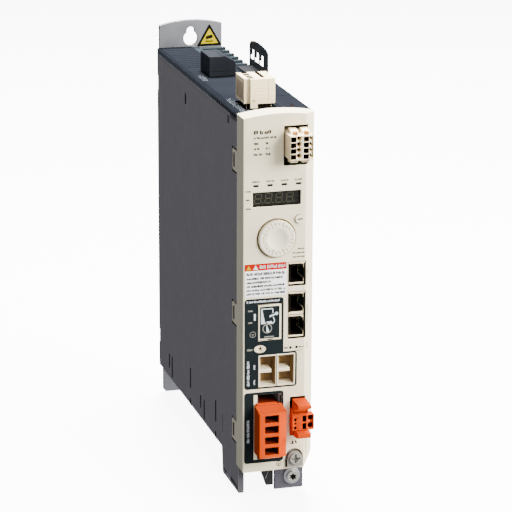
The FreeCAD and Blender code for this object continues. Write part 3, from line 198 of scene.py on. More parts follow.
def make_materials():
    """Every finish by name. Plastic rows: colour, spread, roughness, grain, its depth, specular, paler
    edges.
    """
    plastics = {
        "sheet": ((0.238, 0.212, 0.208, 1.0), 0.03, (0.42, 0.52), 0.3, 0.012, 0.25),
        # lid and lid_side are a dark and a paler copy of one plastic, for the top and the left faces:
        # painted light and shade by how the faces turn.
        "lid": ((0.0085, 0.0097, 0.0125, 1.0), 0.08, (0.6, 0.72), 0.5, 0.03, 0.0),
        "lid_side": ((0.08, 0.09, 0.106, 1.0), 0.08, (0.55, 0.68), 0.5, 0.03, 0.05),
        "sink": (linear(32, 40, 44), 0.08, (0.45, 0.6), 0.7, 0.03, 0.05),
        "cream": (linear(229, 216, 184), 0.02, (0.42, 0.52), 0.4, 0.012, 0.35, 0.03),
        "dial": (linear(232, 222, 198), 0.02, (0.34, 0.44), 0.4, 0.01, 0.4),
        "plug_cream": (linear(242, 221, 178), 0.03, (0.36, 0.48), 0.5, 0.015, 0.35, 0.03),
        # Darker copy of the plug cream for the safety plug's side ribs: painted shade.
        "plug_shade": (linear(176, 158, 132), 0.04, (0.45, 0.55), 0.5, 0.015, 0.15),
        # Tan for the latch pockets of the I/O plug: painted shade.
        "latch": ((0.30, 0.13, 0.02, 1.0), 0.06, (0.4, 0.5), 0.5, 0.015, 0.03),
        "orange": ((0.50, 0.047, 0.0005, 1.0), 0.04, (0.42, 0.52), 0.5, 0.015, 0.0),
        # Darker copy of the orange for windows and inner parts of plugs: painted shade.
        "orange_deep": ((0.11, 0.010, 0.001, 1.0), 0.06, (0.5, 0.6), 0.5, 0.015, 0.01),
        "anthracite": ((0.0105, 0.012, 0.016, 1.0), 0.08, (0.42, 0.54), 0.5, 0.02, 0.07, 0.06),
        "panel": (linear(22, 28, 30), 0.05, (0.5, 0.6), 1.2, 0.006, 0.03),
        "paper": (linear(250, 250, 250), 0.01, (0.4, 0.5), 1.2, 0.005, 0.3),
        "red": ((0.37, 0.008, 0.003, 1.0), 0.04, (0.4, 0.5), 1.2, 0.004, 0.0),
        "yellow": ((0.42, 0.33, 0.0, 1.0), 0.03, (0.5, 0.6), 1.2, 0.004, 0.0),
        "ink": ((0.004, 0.004, 0.004, 1.0), 0.10, (0.5, 0.65), 0.6, 0.003, 0.02),
        "grey_ink": (linear(48, 44, 40), 0.08, (0.5, 0.65), 0.6, 0.003, 0.02),
        "pale_ink": (linear(206, 210, 214), 0.06, (0.5, 0.65), 0.6, 0.003, 0.2),
        "lid_ink": (linear(112, 118, 124), 0.10, (0.5, 0.65), 0.6, 0.003, 0.2),
        # Near-black for the walls of openings, hollows, slots and gaps: painted shade.
        "void": (linear(20, 17, 14), 0.15, (0.8, 0.95), 0.6, 0.01, 0.0),
        "dark": (linear(40, 40, 43), 0.1, (0.42, 0.56), 0.5, 0.015, 0.2),
        # Tan for the inside of the DC bus cells: painted shade.
        "tan": (linear(134, 108, 72), 0.08, (0.42, 0.54), 0.6, 0.015, 0.05),
        "funnel": (linear(168, 136, 78), 0.08, (0.45, 0.55), 0.6, 0.015, 0.05),
        # Grey for the cover's inner walls round the motor plug: painted shade.
        "grey": (linear(84, 90, 93), 0.06, (0.44, 0.56), 0.6, 0.015, 0.2),
        "window": (linear(20, 20, 16), 0.05, (0.2, 0.3), 2.5, 0.002, 0.2),
        "segment": (linear(62, 60, 50), 0.05, (0.3, 0.4), 1.0, 0.002, 0.05),
        "clear": (linear(30, 26, 22), 0.1, (0.14, 0.22), 1.5, 0.002, 0.4),
        "black": (linear(24, 25, 28), 0.1, (0.3, 0.42), 0.5, 0.015, 0.3, 0.05),
        "board": (linear(24, 92, 50), 0.12, (0.25, 0.4), 0.8, 0.01, 0.5),
        "sleeve": (linear(34, 40, 58), 0.08, (0.25, 0.36), 1.0, 0.01, 0.5),
        "varnish": (linear(120, 78, 36), 0.12, (0.25, 0.4), 0.9, 0.05, 0.5),
        "tape": (linear(196, 166, 60), 0.08, (0.3, 0.45), 0.8, 0.02, 0.4),
        "collar": (linear(128, 125, 118), 0.06, (0.45, 0.55), 0.8, 0.02, 0.3),
        # Darker copy of the sheet for the flange's front lip: painted shade.
        "sheet_edge": (linear(74, 72, 77), 0.05, (0.5, 0.6), 0.4, 0.012, 0.15),
        # Brown for the ring round the dial: painted shade of the gap.
        "gap_shade_brown": (linear(112, 94, 62), 0.08, (0.5, 0.6), 0.8, 0.01, 0.05),
        # Paler copy of the sheet for the flange's rim and ridge: painted highlight.
        "sheet_rim": (linear(150, 147, 148), 0.05, (0.5, 0.6), 0.4, 0.012, 0.15),
    }
    made = {key: moulded(key, *row) for key, row in plastics.items()}
    made["plate"] = metal("plate", (0.235, 0.24, 0.262, 1.0), (0.36, 0.48), 0.5, 0.008, 0.05, 0.85,
                          stretch=(1, 1, 0.04))
    made["bracket"] = metal("bracket", linear(92, 90, 98), (0.4, 0.52), 1.6, metallic=0.75)
    made["zinc"] = metal("zinc", linear(176, 176, 180), (0.3, 0.42), 1.6, spread=0.10, metallic=0.9)
    made["steel"] = metal("steel", linear(190, 188, 184), (0.24, 0.38), 0.8)
    made["brass"] = metal("brass", linear(214, 180, 112), (0.22, 0.34), 0.6, depth=0.008)
    made["chrome"] = metal("chrome", linear(205, 205, 205), (0.16, 0.28), 0.8, depth=0.006, spread=0.06)
    return made


MATERIALS = make_materials()


# --- making pieces
def finished(name, form, node, finishes, body=None, smooth=32):
    """Make a bmesh a piece on a node's body, unless another body is given."""
    mesh = bpy.data.meshes.new(name)
    bmesh.ops.recalc_face_normals(form, faces=form.faces)
    form.to_mesh(mesh)
    form.free()
    for key in finishes.split():
        mesh.materials.append(MATERIALS[key])
    mesh.shade_smooth()
    mesh.set_sharp_from_angle(angle=math.radians(smooth))
    piece = bpy.data.objects.new(name, mesh)
    bpy.context.scene.collection.objects.link(piece)
    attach(piece, body or BODY_OF[node])
    return piece


def softened(piece, width, segments=2):
    """Round a piece's sharp edges to width millimetres and even out its shading."""
    bevel = piece.modifiers.new("round", "BEVEL")
    bevel.width = width * MM
    bevel.segments = segments
    bevel.limit_method = "ANGLE"
    bevel.angle_limit = SHARP
    bevel.use_clamp_overlap = True
    bevel.miter_outer = "MITER_ARC"
    piece.modifiers.new("shade", "WEIGHTED_NORMAL").keep_sharp = True


def cad_form(node):
    """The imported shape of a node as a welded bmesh."""
    form = bmesh.new()
    form.from_mesh(NODES[node].data)
    bmesh.ops.remove_doubles(form, verts=form.verts, dist=0.004 * MM)
    return form


def round_edges(form, width, segments):
    """Round the sharp outer edges that have room for it; short facets of small arcs stay as they are."""
    room = 1.3 * width * MM
    chosen = []
    for edge in form.edges:
        if len(edge.link_faces) != 2 or edge.calc_face_angle(0) < SHARP or not edge.is_convex:
            continue
        if all(near.calc_length() > room for vert in edge.verts for near in vert.link_edges):
            chosen.append(edge)
    bmesh.ops.bevel(form, geom=chosen, offset=width * MM, segments=segments, affect="EDGES", profile=0.5,
                    clamp_overlap=False, miter_outer="ARC")


def remade(node, finishes, width, paint=None, segments=2):
    """A node's shape with rounded edges. paint picks each face's finish from its centre and normal."""
    form = cad_form(node)
    if paint:
        for face in form.faces:
            face.material_index = paint(face.calc_center_median() / MM, face.normal)
    if width:
        round_edges(form, width, segments)
    piece = finished(node + "_body", form, node, finishes)
    piece.modifiers.new("shade", "WEIGHTED_NORMAL").keep_sharp = True
    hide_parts(node)
    return piece


def box_into(form, low, high, material=0):
    """Add a box between two corners in millimetres."""
    middle = [(a + b) / 2 * MM for a, b in zip(low, high)]
    size = [(b - a) * MM for a, b in zip(low, high)]
    matrix = Matrix.Translation(middle) @ Matrix.Diagonal((*size, 1))
    made = bmesh.ops.create_cube(form, size=1, matrix=matrix)
    for face in {face for vert in made["verts"] for face in vert.link_faces}:
        face.material_index = material


def prism_into(form, outline, place, height, material=0):
    """Add a prism: place maps (u, v, w) in millimetres to a point, w runs from 0 to height."""
    low = [form.verts.new(Vector(place(u, v, 0)) * MM) for u, v in outline]
    high = [form.verts.new(Vector(place(u, v, height)) * MM) for u, v in outline]
    faces = [form.faces.new(low), form.faces.new(high)]
    for index in range(len(outline)):
        faces.append(form.faces.new((low[index - 1], low[index], high[index], high[index - 1])))
    for face in faces:
        face.material_index = material


def on_face(front):
    """Places (x, z, w) on a forward face, w standing out from it."""
    return lambda u, v, w: (u, front - w, v)


def on_front(level=0.0):
    """Places (x, z, w) on the front cover, w standing out from that level."""
    return on_face(FRONT - level)


def strip(form, place, start, end, width, height, material=0):
    """A straight raised line between two (u, v) points."""
    first, last = Vector(start), Vector(end)
    way = last - first
    side = Vector((-way.y, way.x)).normalized() * width / 2
    corners = [first + side, last + side, last - side, first - side]
    prism_into(form, corners, place, height, material)


def around(centre, axes, share):
    """The point of an oval at a share of a turn."""
    angle = math.tau * share
    return (centre[0] + axes[0] * math.cos(angle), centre[1] + axes[1] * math.sin(angle))


def oval(form, place, centre, outer, inner, height, sides=40):
    """A raised oval ring between two pairs of half axes."""
    for step in range(sides):
        ends = ((outer, step), (outer, step + 1), (inner, step + 1), (inner, step))
        prism_into(form, [around(centre, axes, turn / sides) for axes, turn in ends], place, height)


def ring(form, place, centre, radius, width, height):
    """A raised ring."""
    oval(form, place, centre, (radius, radius), (radius - width, radius - width), height)


def disc(form, place, centre, radius, height, material=0, sides=28):
    """A raised disc."""
    outline = [around(centre, (radius, radius), step / sides) for step in range(sides)]
    prism_into(form, outline, place, height, material)


def dashes(form, place, start, end, level, tall, chance, height=STROKE, material=0, upright=False,
           weight=1.0):
    """A row of word-like dashes that stands for print: each dash is a run of short upright strokes."""
    root = math.sqrt(tall)
    at = start
    while at < end - 0.3:
        word = min(chance.uniform(1.3, 3.4) * max(1.0, tall / 1.8), end - at)
        stroke = at
        while stroke < at + word - 0.2:
            wide = chance.uniform(0.42, 0.62) * root * weight
            low = level - tall / 2 + chance.choice((0, 0, 0.15)) * tall
            high = level + tall / 2 - chance.choice((0, 0, 0.25)) * tall
            corners = [(stroke, low), (stroke + wide, low), (stroke + wide, high), (stroke, high)]
            if upright:
                corners = [(-v, u) for u, v in corners]
            prism_into(form, corners, place, height, material)
            stroke += wide + 0.13 * root / weight
        at += word + 0.34 * tall


def speckle(form, place, start, end, level, chance):
    """Sparse tiny marks in a row, as worn pale print on the lid."""
    at = start
    while at < end:
        long = chance.uniform(0.7, 1.5)
        shift = chance.uniform(-0.25, 0.25)
        strip(form, place, (at, level + shift), (at + long, level + shift), 0.32, FINE)
        at += long + chance.uniform(1.0, 2.4)


def rounded_outline(points, radius, steps=4):
    """Closed outline with its corners rounded off."""
    outline = []
    for last, point, following in zip(points[-1:] + points, points, points[1:] + points[:1]):
        corner = Vector(point)
        before = (Vector(last) - corner).normalized() * radius
        after = (Vector(following) - corner).normalized() * radius
        for step in range(steps + 1):
            share = step / steps
            outline.append(tuple(corner + before * (1 - share) ** 2 + after * share ** 2))
    return outline


# --- housing
def make_housing():
    """Plate, heat sink, walls, lid, tab, guide and front cover."""
    remade("rear_plate", "plate", 0.3)
    remade("heat_sink", "sink", 0.45)
    remade("left_side_sheet", "sheet void sheet_edge", 0.25, paint=sheet_paint)
    remade("right_side_sheet", "sheet", 0.25)
    remade("bottom_cover", "sheet", 0.2)
    # The lid's left faces take the paler copy of its plastic: painted light and shade by how the faces turn.
    remade("top_cover", "lid lid_side", 0.3, lambda centre, normal: 1 if normal.x < -0.5 else 0)
    remade("shield_tab", "black", 0.25)
    remade("cable_guide", "black", 0.3)
    remade("front_cover", "cream void grey", 0.55, paint=front_paint, segments=3)


def sheet_paint(centre, normal):
    """Painted shade: dark walls in the vents and notches, and a darker front lip on the flange."""
    if centre.z < -112.3:
        return 2 if normal.y < -0.5 else 0
    wall = abs(normal.x) < 0.5 and -111.8 < centre.z < 112.6
    return 1 if wall and SEAM + 0.5 < centre.y < -3.2 else 0


def make_side_shades():
    """Painted shade as dark patches over the left sheet's vents and as dark ticks on the sheet's hem, which
    covers the lid's skirt.
    """
    vents = ((-33.5, -99.8, 10), (-41.6, -102, 15), (-93.4, -92.7, 14), (-121, -100.3, 8.6),
             (-130.5, -102.6, 13), (-160.4, -93.2, 14.6), (-93, -110, 4.6), (-160, -110, 4.6),
             (-191.2, 110.2, 5.2))
    vent_half, tick_half, tick_pitch, first_tick = 1.25, 0.4, 1.6, -197
    form = bmesh.new()
    for along, level, length in vents:
        box_into(form, (SIDE - 0.04, along - vent_half, level - length / 2),
                 (SIDE + 0.2, along + vent_half, level + length / 2))
    for index in range(9):
        along = first_tick - index * tick_pitch
        box_into(form, (SIDE - 0.09, along - tick_half, 112.6), (SIDE, along + tick_half, 115.6))
    finished("vent_shades", form, "left_side_sheet", "void")
    form = bmesh.new()
    box_into(form, (SIDE - 0.05, SEAM + 0.4, 112.4), (SIDE + 0.1, -3.2, 114.7))
    finished("sheet_hem", form, "left_side_sheet", "sheet")


def front_paint(centre, normal):
    """Cream outside; painted shade in the openings and inside, dark there and grey round the motor plug."""
    if centre.x < SIDE + 1.5 and centre.y > SEAM + 0.1:
        sunk = -206.4 < centre.y < -202.9 and centre.x > SIDE + 0.15
        return 1 if abs(normal.x) < 0.5 or sunk else 0
    outer = abs(centre.x) > 23.9 or centre.z > 117.5 or centre.z < -111.5
    bevelled = normal.x > 0.3 and normal.y < -0.3
    if outer or bevelled or centre.y < FRONT + 0.3:
        return 0
    return 2 if -15 < centre.x < 1.8 and -104.3 < centre.z < -60 else 1


def make_flange_marks():
    """Embossed rim and ridge strips, paler as painted highlight, and painted shade in the corners of the
    left sheet's flange and on the cover's tabs.
    """
    place = lambda u, v, w: (SIDE - w, u, v)
    rear_corner = [(-178.4, -124.4), (-187, -125.4), (-187, -126.9), (-178.4, -126.6)]
    front_corner = [(-198.4, -124.6), (-206, -125.0), (-215, -126.0), (-215, -127.2), (-198.4, -126.9)]
    tab_levels, tab_half, tab_rear, tab_front = (87.2, -12.0, -90.1), 4.3, -203.4, -206.0
    form = bmesh.new()
    strip(form, place, (-177.6, -127.3), (-216.2, -127.7), 0.5, 0.12)
    strip(form, place, (-197.2, -114.2), (-197.6, -127.0), 0.5, 0.12)
    prism_into(form, rear_corner, place, 0.08, 1)
    prism_into(form, front_corner, place, 0.08, 1)
    for level in tab_levels:
        low, high = level - tab_half, level + tab_half
        shade = [(tab_front, low), (tab_rear, low), (tab_rear, high), (tab_front, high)]
        prism_into(form, shade, place, FINE, 1)
    finished("flange_highlight_and_shade", form, "left_side_sheet", "sheet_rim dark")


def make_lid_details():
    """Fine ribs beside the heat sink, edge lines, steps, and worn pale print on the top."""
    rib_half, rib_pitch, line_half, print_level = 0.5, 5.8, 0.25, TOP + 0.3
    form = bmesh.new()
    for index in range(12):
        along = -8 - index * rib_pitch
        box_into(form, (-20.5, along - rib_half, TOP), (0.2, along + rib_half, TOP + 0.2))
    for across in (-22.9, -21.6):
        box_into(form, (across - line_half, SEAM + 0.6, TOP), (across + line_half, -3.4, TOP + 0.3))
    box_into(form, (-20.6, -176, TOP), (-16.8, -110, TOP + 0.25))
    box_into(form, (6.6, SEAM + 0.8, TOP), (22.5, -176, TOP + 0.35))
    box_into(form, (5.4, -170, TOP), (22.5, -120, TOP + 0.2))
    softened(finished("lid_ribs", form, "top_cover", "lid"), 0.08, 1)
    marks = bmesh.new()
    chance = random.Random(5)
    along_y = lambda u, v, w: (v, u, print_level + w)
    rows = (((-20.3, -19.2, -18.2, -17.2), -208, -172), ((-20.0, -18.6, -17.2), -116, -100),
            ((19.6, 18.4, 17.2), -206, -192))
    for places, start, end in rows:
        for across in places:
            speckle(marks, along_y, start, end, across, chance)
    finished("lid_print", marks, "info_label", "lid_ink")
    slot = bmesh.new()
    box_into(slot, (14.4, -203, TOP + 0.34), (16.0, -196, TOP + 0.4))
    finished("lid_slot_shadow", slot, "top_cover", "void")


def make_plate_sticker():
    """Plain triangular sticker: yellow with a black border, a slanted bar and a line."""
    form = bmesh.new()
    plate_front = span("rear_plate")[0].y
    place, raised = on_face(plate_front), on_face(plate_front - 0.25)
    outer = rounded_outline([(4.3, 117.7), (22.3, 117.7), (13.3, 133.2)], 0.9)
    inner = rounded_outline([(7.0, 119.4), (19.6, 119.4), (13.3, 130.2)], 0.5)
    prism_into(form, outer, place, 0.2, 1)
    prism_into(form, inner, place, 0.26)
    strip(form, raised, (10.4, 121.0), (16.0, 121.0), 0.8, FINE, 1)
    strip(form, raised, (10.8, 123.4), (15.6, 124.6), 2.2, FINE, 1)
    piece = finished("plate_sticker_foil", form, "plate_sticker", "yellow ink")
    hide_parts("plate_sticker")


# --- printed front
def make_front_print():
    """Dashes that stand for the print on the pale front."""
    chance = random.Random(11)
    form = bmesh.new()
    place = on_front()
    left, second_column = -17.5, -9.9
    dashes(form, place, left, -11.8, 108.9, 2.5, chance)
    dashes(form, place, -10.6, -7.0, 108.9, 2.5, chance)
    dashes(form, place, left, -2.9, 105.5, 1.35, chance)
    for level, end in ((101.9, -14.0), (98.6, -14.2), (95.1, -11.8)):
        dashes(form, place, left, end, level, 1.45, chance)
        dashes(form, place, second_column, -7.4, level, 1.45, chance)
    finished("front_print", form, "info_label", "ink")
    form = bmesh.new()
    lamp, lamp_pitch, half = -15.95, 9.1, 2.4
    for index in range(4):
        middle = lamp + lamp_pitch * index
        dashes(form, place, middle - half, middle + half, 77.9, 1.1, chance)
    for level in (72, 66.6, 61):
        dashes(form, place, -22.4, -19.4, level, 1.0, chance)
    for start, level in ((11.2, 33.4), (8, 30.8), (8, 28.2)):
        dashes(form, place, start, 15.6, level, 1.0, chance)
    for start, end in ((3.0, 5.4), (12.6, 15.4)):
        dashes(form, place, start, end, -30.8, 1.2, chance)
    strip(form, place, (9.6, -33.2), (14.6, -33.0), 0.35, STROKE)
    dashes(form, place, 92.2, 95.4, -8.9, 1.9, chance, upright=True)
    finished("front_print_small", form, "info_label", "grey_ink")
    form = bmesh.new()
    earth, line = (-0.2, -107.8), 0.35
    ring(form, place, earth, 1.9, 0.4, FINE)
    for level, half in ((-107.9, 1.1), (-108.6, 0.75), (-109.2, 0.35)):
        strip(form, place, (earth[0] - half, level), (earth[0] + half, level), line, FINE)
    strip(form, place, earth, (earth[0], -106.4), line, FINE)
    for across in (8.6, 10.6):
        strip(form, place, (across, -93.4), (across + 0.9, -95.3), 0.9, FINE)
    strip(form, place, (7.8, -94.8), (9.4, -95.4), 0.7, FINE)
    finished("earth_mark", form, "info_label", "grey_ink")
    make_edge_print(chance)


def make_edge_print(chance):
    """Small print that runs up the bevelled right edge."""
    corner = Vector((16.4, FRONT))
    way = (Vector((24.0, -217.1)) - corner).normalized()
    out = Vector((way.y, -way.x))
    margin = 3.4

    def place(u, v, w):
        across = corner + way * (margin + u) + out * w
        return (across.x, across.y, v)

    form = bmesh.new()
    for start, end in ((-104, -91), (-16, -4), (-33, -29), (16, 19)):
        dashes(form, place, start, end, 0, 1.3, chance, upright=True)
    finished("edge_print", form, "info_label", "grey_ink")


def make_info_label():
    """Printed foil with a coloured band, two plain triangles and rows of dashes."""
    form = bmesh.new()
    left, right, low, band_low, high = -22.9, 4, 4.3, 21.1, 25.4
    body = rounded_outline([(left, low), (right, low), (right, high), (left, high)], 0.6)
    prism_into(form, body, on_front(), PAPER)
    band = rounded_outline([(left, band_low), (right, band_low), (right, high), (left, high)], 0.5)
    prism_into(form, band, on_front(), 0.24, 1)
    on_body, on_band = on_front(PAPER), on_front(0.24)
    chance = random.Random(23)
    for apex, key in ((-20.4, 3), (-16.0, 2)):
        prism_into(form, [(apex - 1.7, 21.8), (apex + 1.7, 21.8), (apex, 24.7)], on_band, FINE, key)
    dashes(form, on_band, -13.2, 3.0, 23.3, 2.2, chance, FINE, 2, weight=0.55)
    dashes(form, on_body, -21.8, 3.2, 18.9, 1.9, chance, FINE, 4)
    for level, end in ((16.0, 1.4), (13.5, -6.6), (11.0, 3.0), (8.5, 3.2), (6.1, 3.2)):
        dashes(form, on_body, -21.8, end, level, 1.5, chance, FINE, 4)
    piece = finished("info_label_foil", form, "info_label", "paper red pale_ink yellow ink")
    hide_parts("info_label")


def make_dark_foils():
    """The two dark foils with rounded corners, and what is printed on them."""
    for node in ("terminal_label", "motor_label"):
        form = cad_form(node)
        corners = [edge for edge in form.edges if is_foil_corner(edge)]
        bmesh.ops.bevel(form, geom=corners, offset=1.8 * MM, segments=5, affect="EDGES", profile=0.5)
        piece = finished(node + "_foil", form, node, "panel")
        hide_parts(node)
    chance = random.Random(31)
    place = on_front(FOIL)
    form = bmesh.new()
    dashes(form, place, -21.7, 0.4, 1.0, 1.3, chance, weight=0.6)
    strip(form, place, (-16.4, -11.2), (-16.4, -6.8), 1.2, STROKE)
    for low, high in ((-54, -37.6), (-92, -76)):
        dashes(form, place, low, high, 20.6, 1.7, chance, upright=True, weight=0.55)
    for low in (-53.4, -43.4):
        dashes(form, place, low, low + 3.4, 16.6, 1.0, chance, upright=True, weight=0.6)
    finished("foil_print", form, "info_label", "pale_ink")
    form = bmesh.new()
    middle = -17.7
    ring(form, place, (middle, -20.3), 2.0, 0.3, FINE)
    for level, half in ((-20.2, 1.0), (-20.9, 0.7), (-21.6, 0.35)):
        strip(form, place, (middle - half, level), (middle + half, level), 0.25, FINE)
    for level in (-4.8, -12.5):
        dashes(form, place, -20.8, -17.9, level, 1.1, chance, FINE)
    dashes(form, place, -21.4, -18, -30.3, 1.3, chance, FINE)
    finished("foil_symbols", form, "info_label", "collar")


def is_foil_corner(edge):
    """Edges square to the front, at the corners of a foil's outline that are rounded."""
    first, second = (vert.co / MM for vert in edge.verts)
    if abs(first.x - second.x) > 0.01 or abs(first.z - second.z) > 0.01:
        return False
    return first.x < -22.8 or first.x > 11.1 or (2.2 < first.x < 2.7 and (first.z > 2 or first.z < -58))


# --- display, dial and button
def make_display():
    """Window, dark lamps and four unlit digits, each with its point."""
    remade("display_window", "window", 0)
    remade("display_module", "dark", 0.2)
    remade("light_pipes", "clear", 0.12)
    place = on_face(span("display_window")[0].y)
    form = bmesh.new()
    for left in (-16.4, -9.7, -2.9, 3.9):
        segment_digit(form, place, left, 63.6)
        disc(form, place, (left + 5.3, 63.7), 0.42, FINE, sides=14)
    finished("display_digits", form, "display_module", "segment")


def segment_digit(form, place, left, low, wide=4.4, tall=5.9, gap=0.35):
    """An unlit seven-segment digit, leaning to the right."""
    half = tall / 2
    lean = lambda u, v, w: place(left + u * 0.9 + v * 0.14, low + v, w)
    for level in (0, half, tall):
        strip(form, lean, (gap, level), (wide - gap, level), 0.55, FINE)
    for across in (0, wide):
        for bottom in (0, half):
            strip(form, lean, (across, bottom + gap), (across, bottom + half - gap), 0.55, FINE)


def make_dial():
    """Lathe-turned dial with a dished centre and a ring of finger dimples, every third one long."""
    low, high = span("dial")
    centre = (low + high) / 2
    front = low.y
    profile = [(0.0, 1.55), (1.2, 1.5), (2.4, 1.36), (3.6, 1.12), (4.8, 0.8), (5.8, 0.45), (6.5, 0.18),
               (7.1, 0.06)]
    profile += [(7.1 + 0.35 * step, 0.03) for step in range(1, 12)]
    profile += [(11.0, 0.05), (11.3, 0.14), (11.55, 0.34), (11.7, 0.66), (11.75, 1.2), (11.75, 5.9),
                (0.0, 5.9)]
    turns = 288
    form = bmesh.new()
    rings = []
    for radius, depth in profile:
        if radius == 0.0:
            rings.append([form.verts.new(Vector((centre.x, front + depth, centre.z)) * MM)])
            continue
        circle = []
        for step in range(turns):
            angle = math.tau * step / turns
            sink = depth + dimple_depth(radius, angle)
            across, up = radius * math.cos(angle), radius * math.sin(angle)
            spot = Vector((centre.x + across, front + sink, centre.z + up))
            circle.append(form.verts.new(spot * MM))
        rings.append(circle)
    for inner, outer in zip(rings, rings[1:]):
        for step in range(turns):
            following = (step + 1) % turns
            corners = [inner[step % len(inner)], inner[following % len(inner)],
                       outer[following % len(outer)], outer[step % len(outer)]]
            form.faces.new(list(dict.fromkeys(corners)))
    piece = finished("dial_knob", form, "dial", "dial", smooth=40)
    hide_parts("dial")
    remade("dial_shaft", "steel", 0.15)
    # A brown ring on the cover round the dial: painted shade of the gap.
    form = bmesh.new()
    ring(form, on_front(), (centre.x, centre.z), 12.35, 0.55, 0.12)
    finished("dial_gap", form, "front_cover", "gap_shade_brown")


def dimple_depth(radius, angle, count=24, first=math.radians(24)):
    """How deep a finger dimple goes at a point of the dial's face, in millimetres."""
    turned = angle - first
    nearest = round(turned / math.tau * count)
    offset = (turned - nearest * math.tau / count) * radius
    is_long = nearest % 3 == 0
    middle, half = (9.2, 1.7) if is_long else (9.4, 0.6)
    along = max(0.0, abs(radius - middle) - half + 0.3)
    fall = 1 - (offset / 0.5) ** 2 - (along / 0.55) ** 2
    return 0.75 * math.sqrt(fall) if fall > 0 else 0.0


def make_button():
    """Round push button with a small mark on its face, in a fine rim."""
    low, high = span("esc_button")
    remade("esc_button", "dial", 0.25, segments=3)
    remade("esc_switch", "dark", 0.1)
    form = bmesh.new()
    dashes(form, on_face(low.y), 10.5, 13.6, 52.7, 1.2, random.Random(3), 0.03)
    finished("button_print", form, "esc_button", "ink")
    form = bmesh.new()
    middle = (low + high) / 2
    ring(form, on_front(), (middle.x, middle.z), (high.x - low.x) / 2 + 0.3, 0.45, 0.03)
    finished("button_rim", form, "front_cover", "cream")


# --- sockets in the front
def jack_paint(centre, normal):
    """Pale outer face, painted shade inside."""
    return 0 if centre.y < FRONT + 0.2 and abs(normal.y) > 0.5 else 1


def make_sockets():
    """Network jacks, DC bus block, and the headers and clamps behind the plugs and the flap."""
    remade("rj45_single", "plug_cream void", 0.15, jack_paint)
    remade("rj45_dual", "plug_cream void", 0.15, jack_paint)
    make_jack_shade("rj45_single", 1)
    make_jack_shade("rj45_dual", 2)
    remade("jack_contacts", "brass", 0.05)
    remade("dc_bus_header", "cream tan", 0.25, dc_bus_paint)
    remade("dc_bus_contacts", "brass", 0.1)
    # The headers behind the plugs take painted shade; the motor header is grey.
    for node in ("io_header", "motor_header", "brake_header", "safety_header", "mains_header"):
        remade(node, "collar" if node == "motor_header" else "void", 0.2)
    remade("connector_pins", "brass", 0.1)
    remade("resistor_terminal", "orange", 0.2)
    make_flap_cup()
    form = bmesh.new()
    low, high = span("dc_bus_header")
    middle = (low.x + high.x) / 2
    box_into(form, (middle - 0.3, low.y - 0.05, low.z + 0.4), (middle + 0.2, low.y + 0.1, high.z - 0.4))
    finished("dc_bus_seam", form, "dc_bus_header", "panel")


def make_flap_cup():
    """White oval screw cup below the flap: smaller than its CAD shape, with a dark ring round it."""
    wide_share, tall_share, left_shift, down_shift = 0.82, 0.84, 0.25 * MM, 0.1 * MM
    cup = remade("flap_lock_cup", "cream", 0.3, segments=3)
    low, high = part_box("flap_lock_cup")
    middle = (low + high) / 2
    for vertex in cup.data.vertices:
        vertex.co.x = middle.x + (vertex.co.x - middle.x) * wide_share - left_shift
        vertex.co.z = middle.z + (vertex.co.z - middle.z) * tall_share - down_shift
    form = bmesh.new()
    oval(form, on_front(FOIL), (-13.0, -30.2), (4.9, 3.5), (4.05, 2.6), BOLD)
    finished("cup_surround", form, "terminal_label", "panel")
    # A brown disc with a dark centre in the hole of the cup: painted shade.
    form = bmesh.new()
    disc(form, on_front(0.42), (-12.9, -29.7), 1.15, STROKE)
    disc(form, on_front(0.46), (-12.7, -29.6), 0.6, STROKE, 1)
    finished("flap_lock_hole_shade", form, "flap_lock_cup", "funnel void")


def make_jack_shade(node, count):
    """Dark strips of painted shade on a jack's face: left and top in the opening, and outside right and
    below.
    """
    low, high = span(node)
    left, right = low.x, high.x
    face, back = low.y - 0.08, low.y + 0.1
    tall = (high.z - low.z) / count
    form = bmesh.new()
    for index in range(count):
        bottom = low.z + tall * index
        top = bottom + tall
        box_into(form, (left - 0.02, face, bottom + 1.9), (left + 1.35, back, top - 0.9))
        box_into(form, (left - 0.02, face, top - 2.3), (right - 2.1, back, top - 0.9))
        if index == 0:
            box_into(form, (left - 0.02, face, bottom - 0.02), (right, back, bottom + 0.6))
        else:
            box_into(form, (left + 0.3, face, bottom - 0.2), (right - 2, back, bottom + 0.2), 1)
    box_into(form, (right - 0.85, face - 0.02, low.z), (right + 0.02, back, high.z - 0.6))
    finished(node + "_shade", form, node, "void collar")


def dc_bus_paint(centre, normal):
    """White rims, bottom walls and tongues; tan inside as painted shade."""
    low, high = span("dc_bus_header")
    level = (low.z + high.z) / 2
    rim = centre.y < FRONT + 0.3
    wall = normal.x < -0.5 or (normal.y < -0.8 and centre.y > FRONT + 3)
    tongue = abs(centre.z - level) < 1.4 and not wall
    bottom = normal.z > 0.8 and centre.z < low.z + 2.5
    return 0 if rim or tongue or bottom else 1


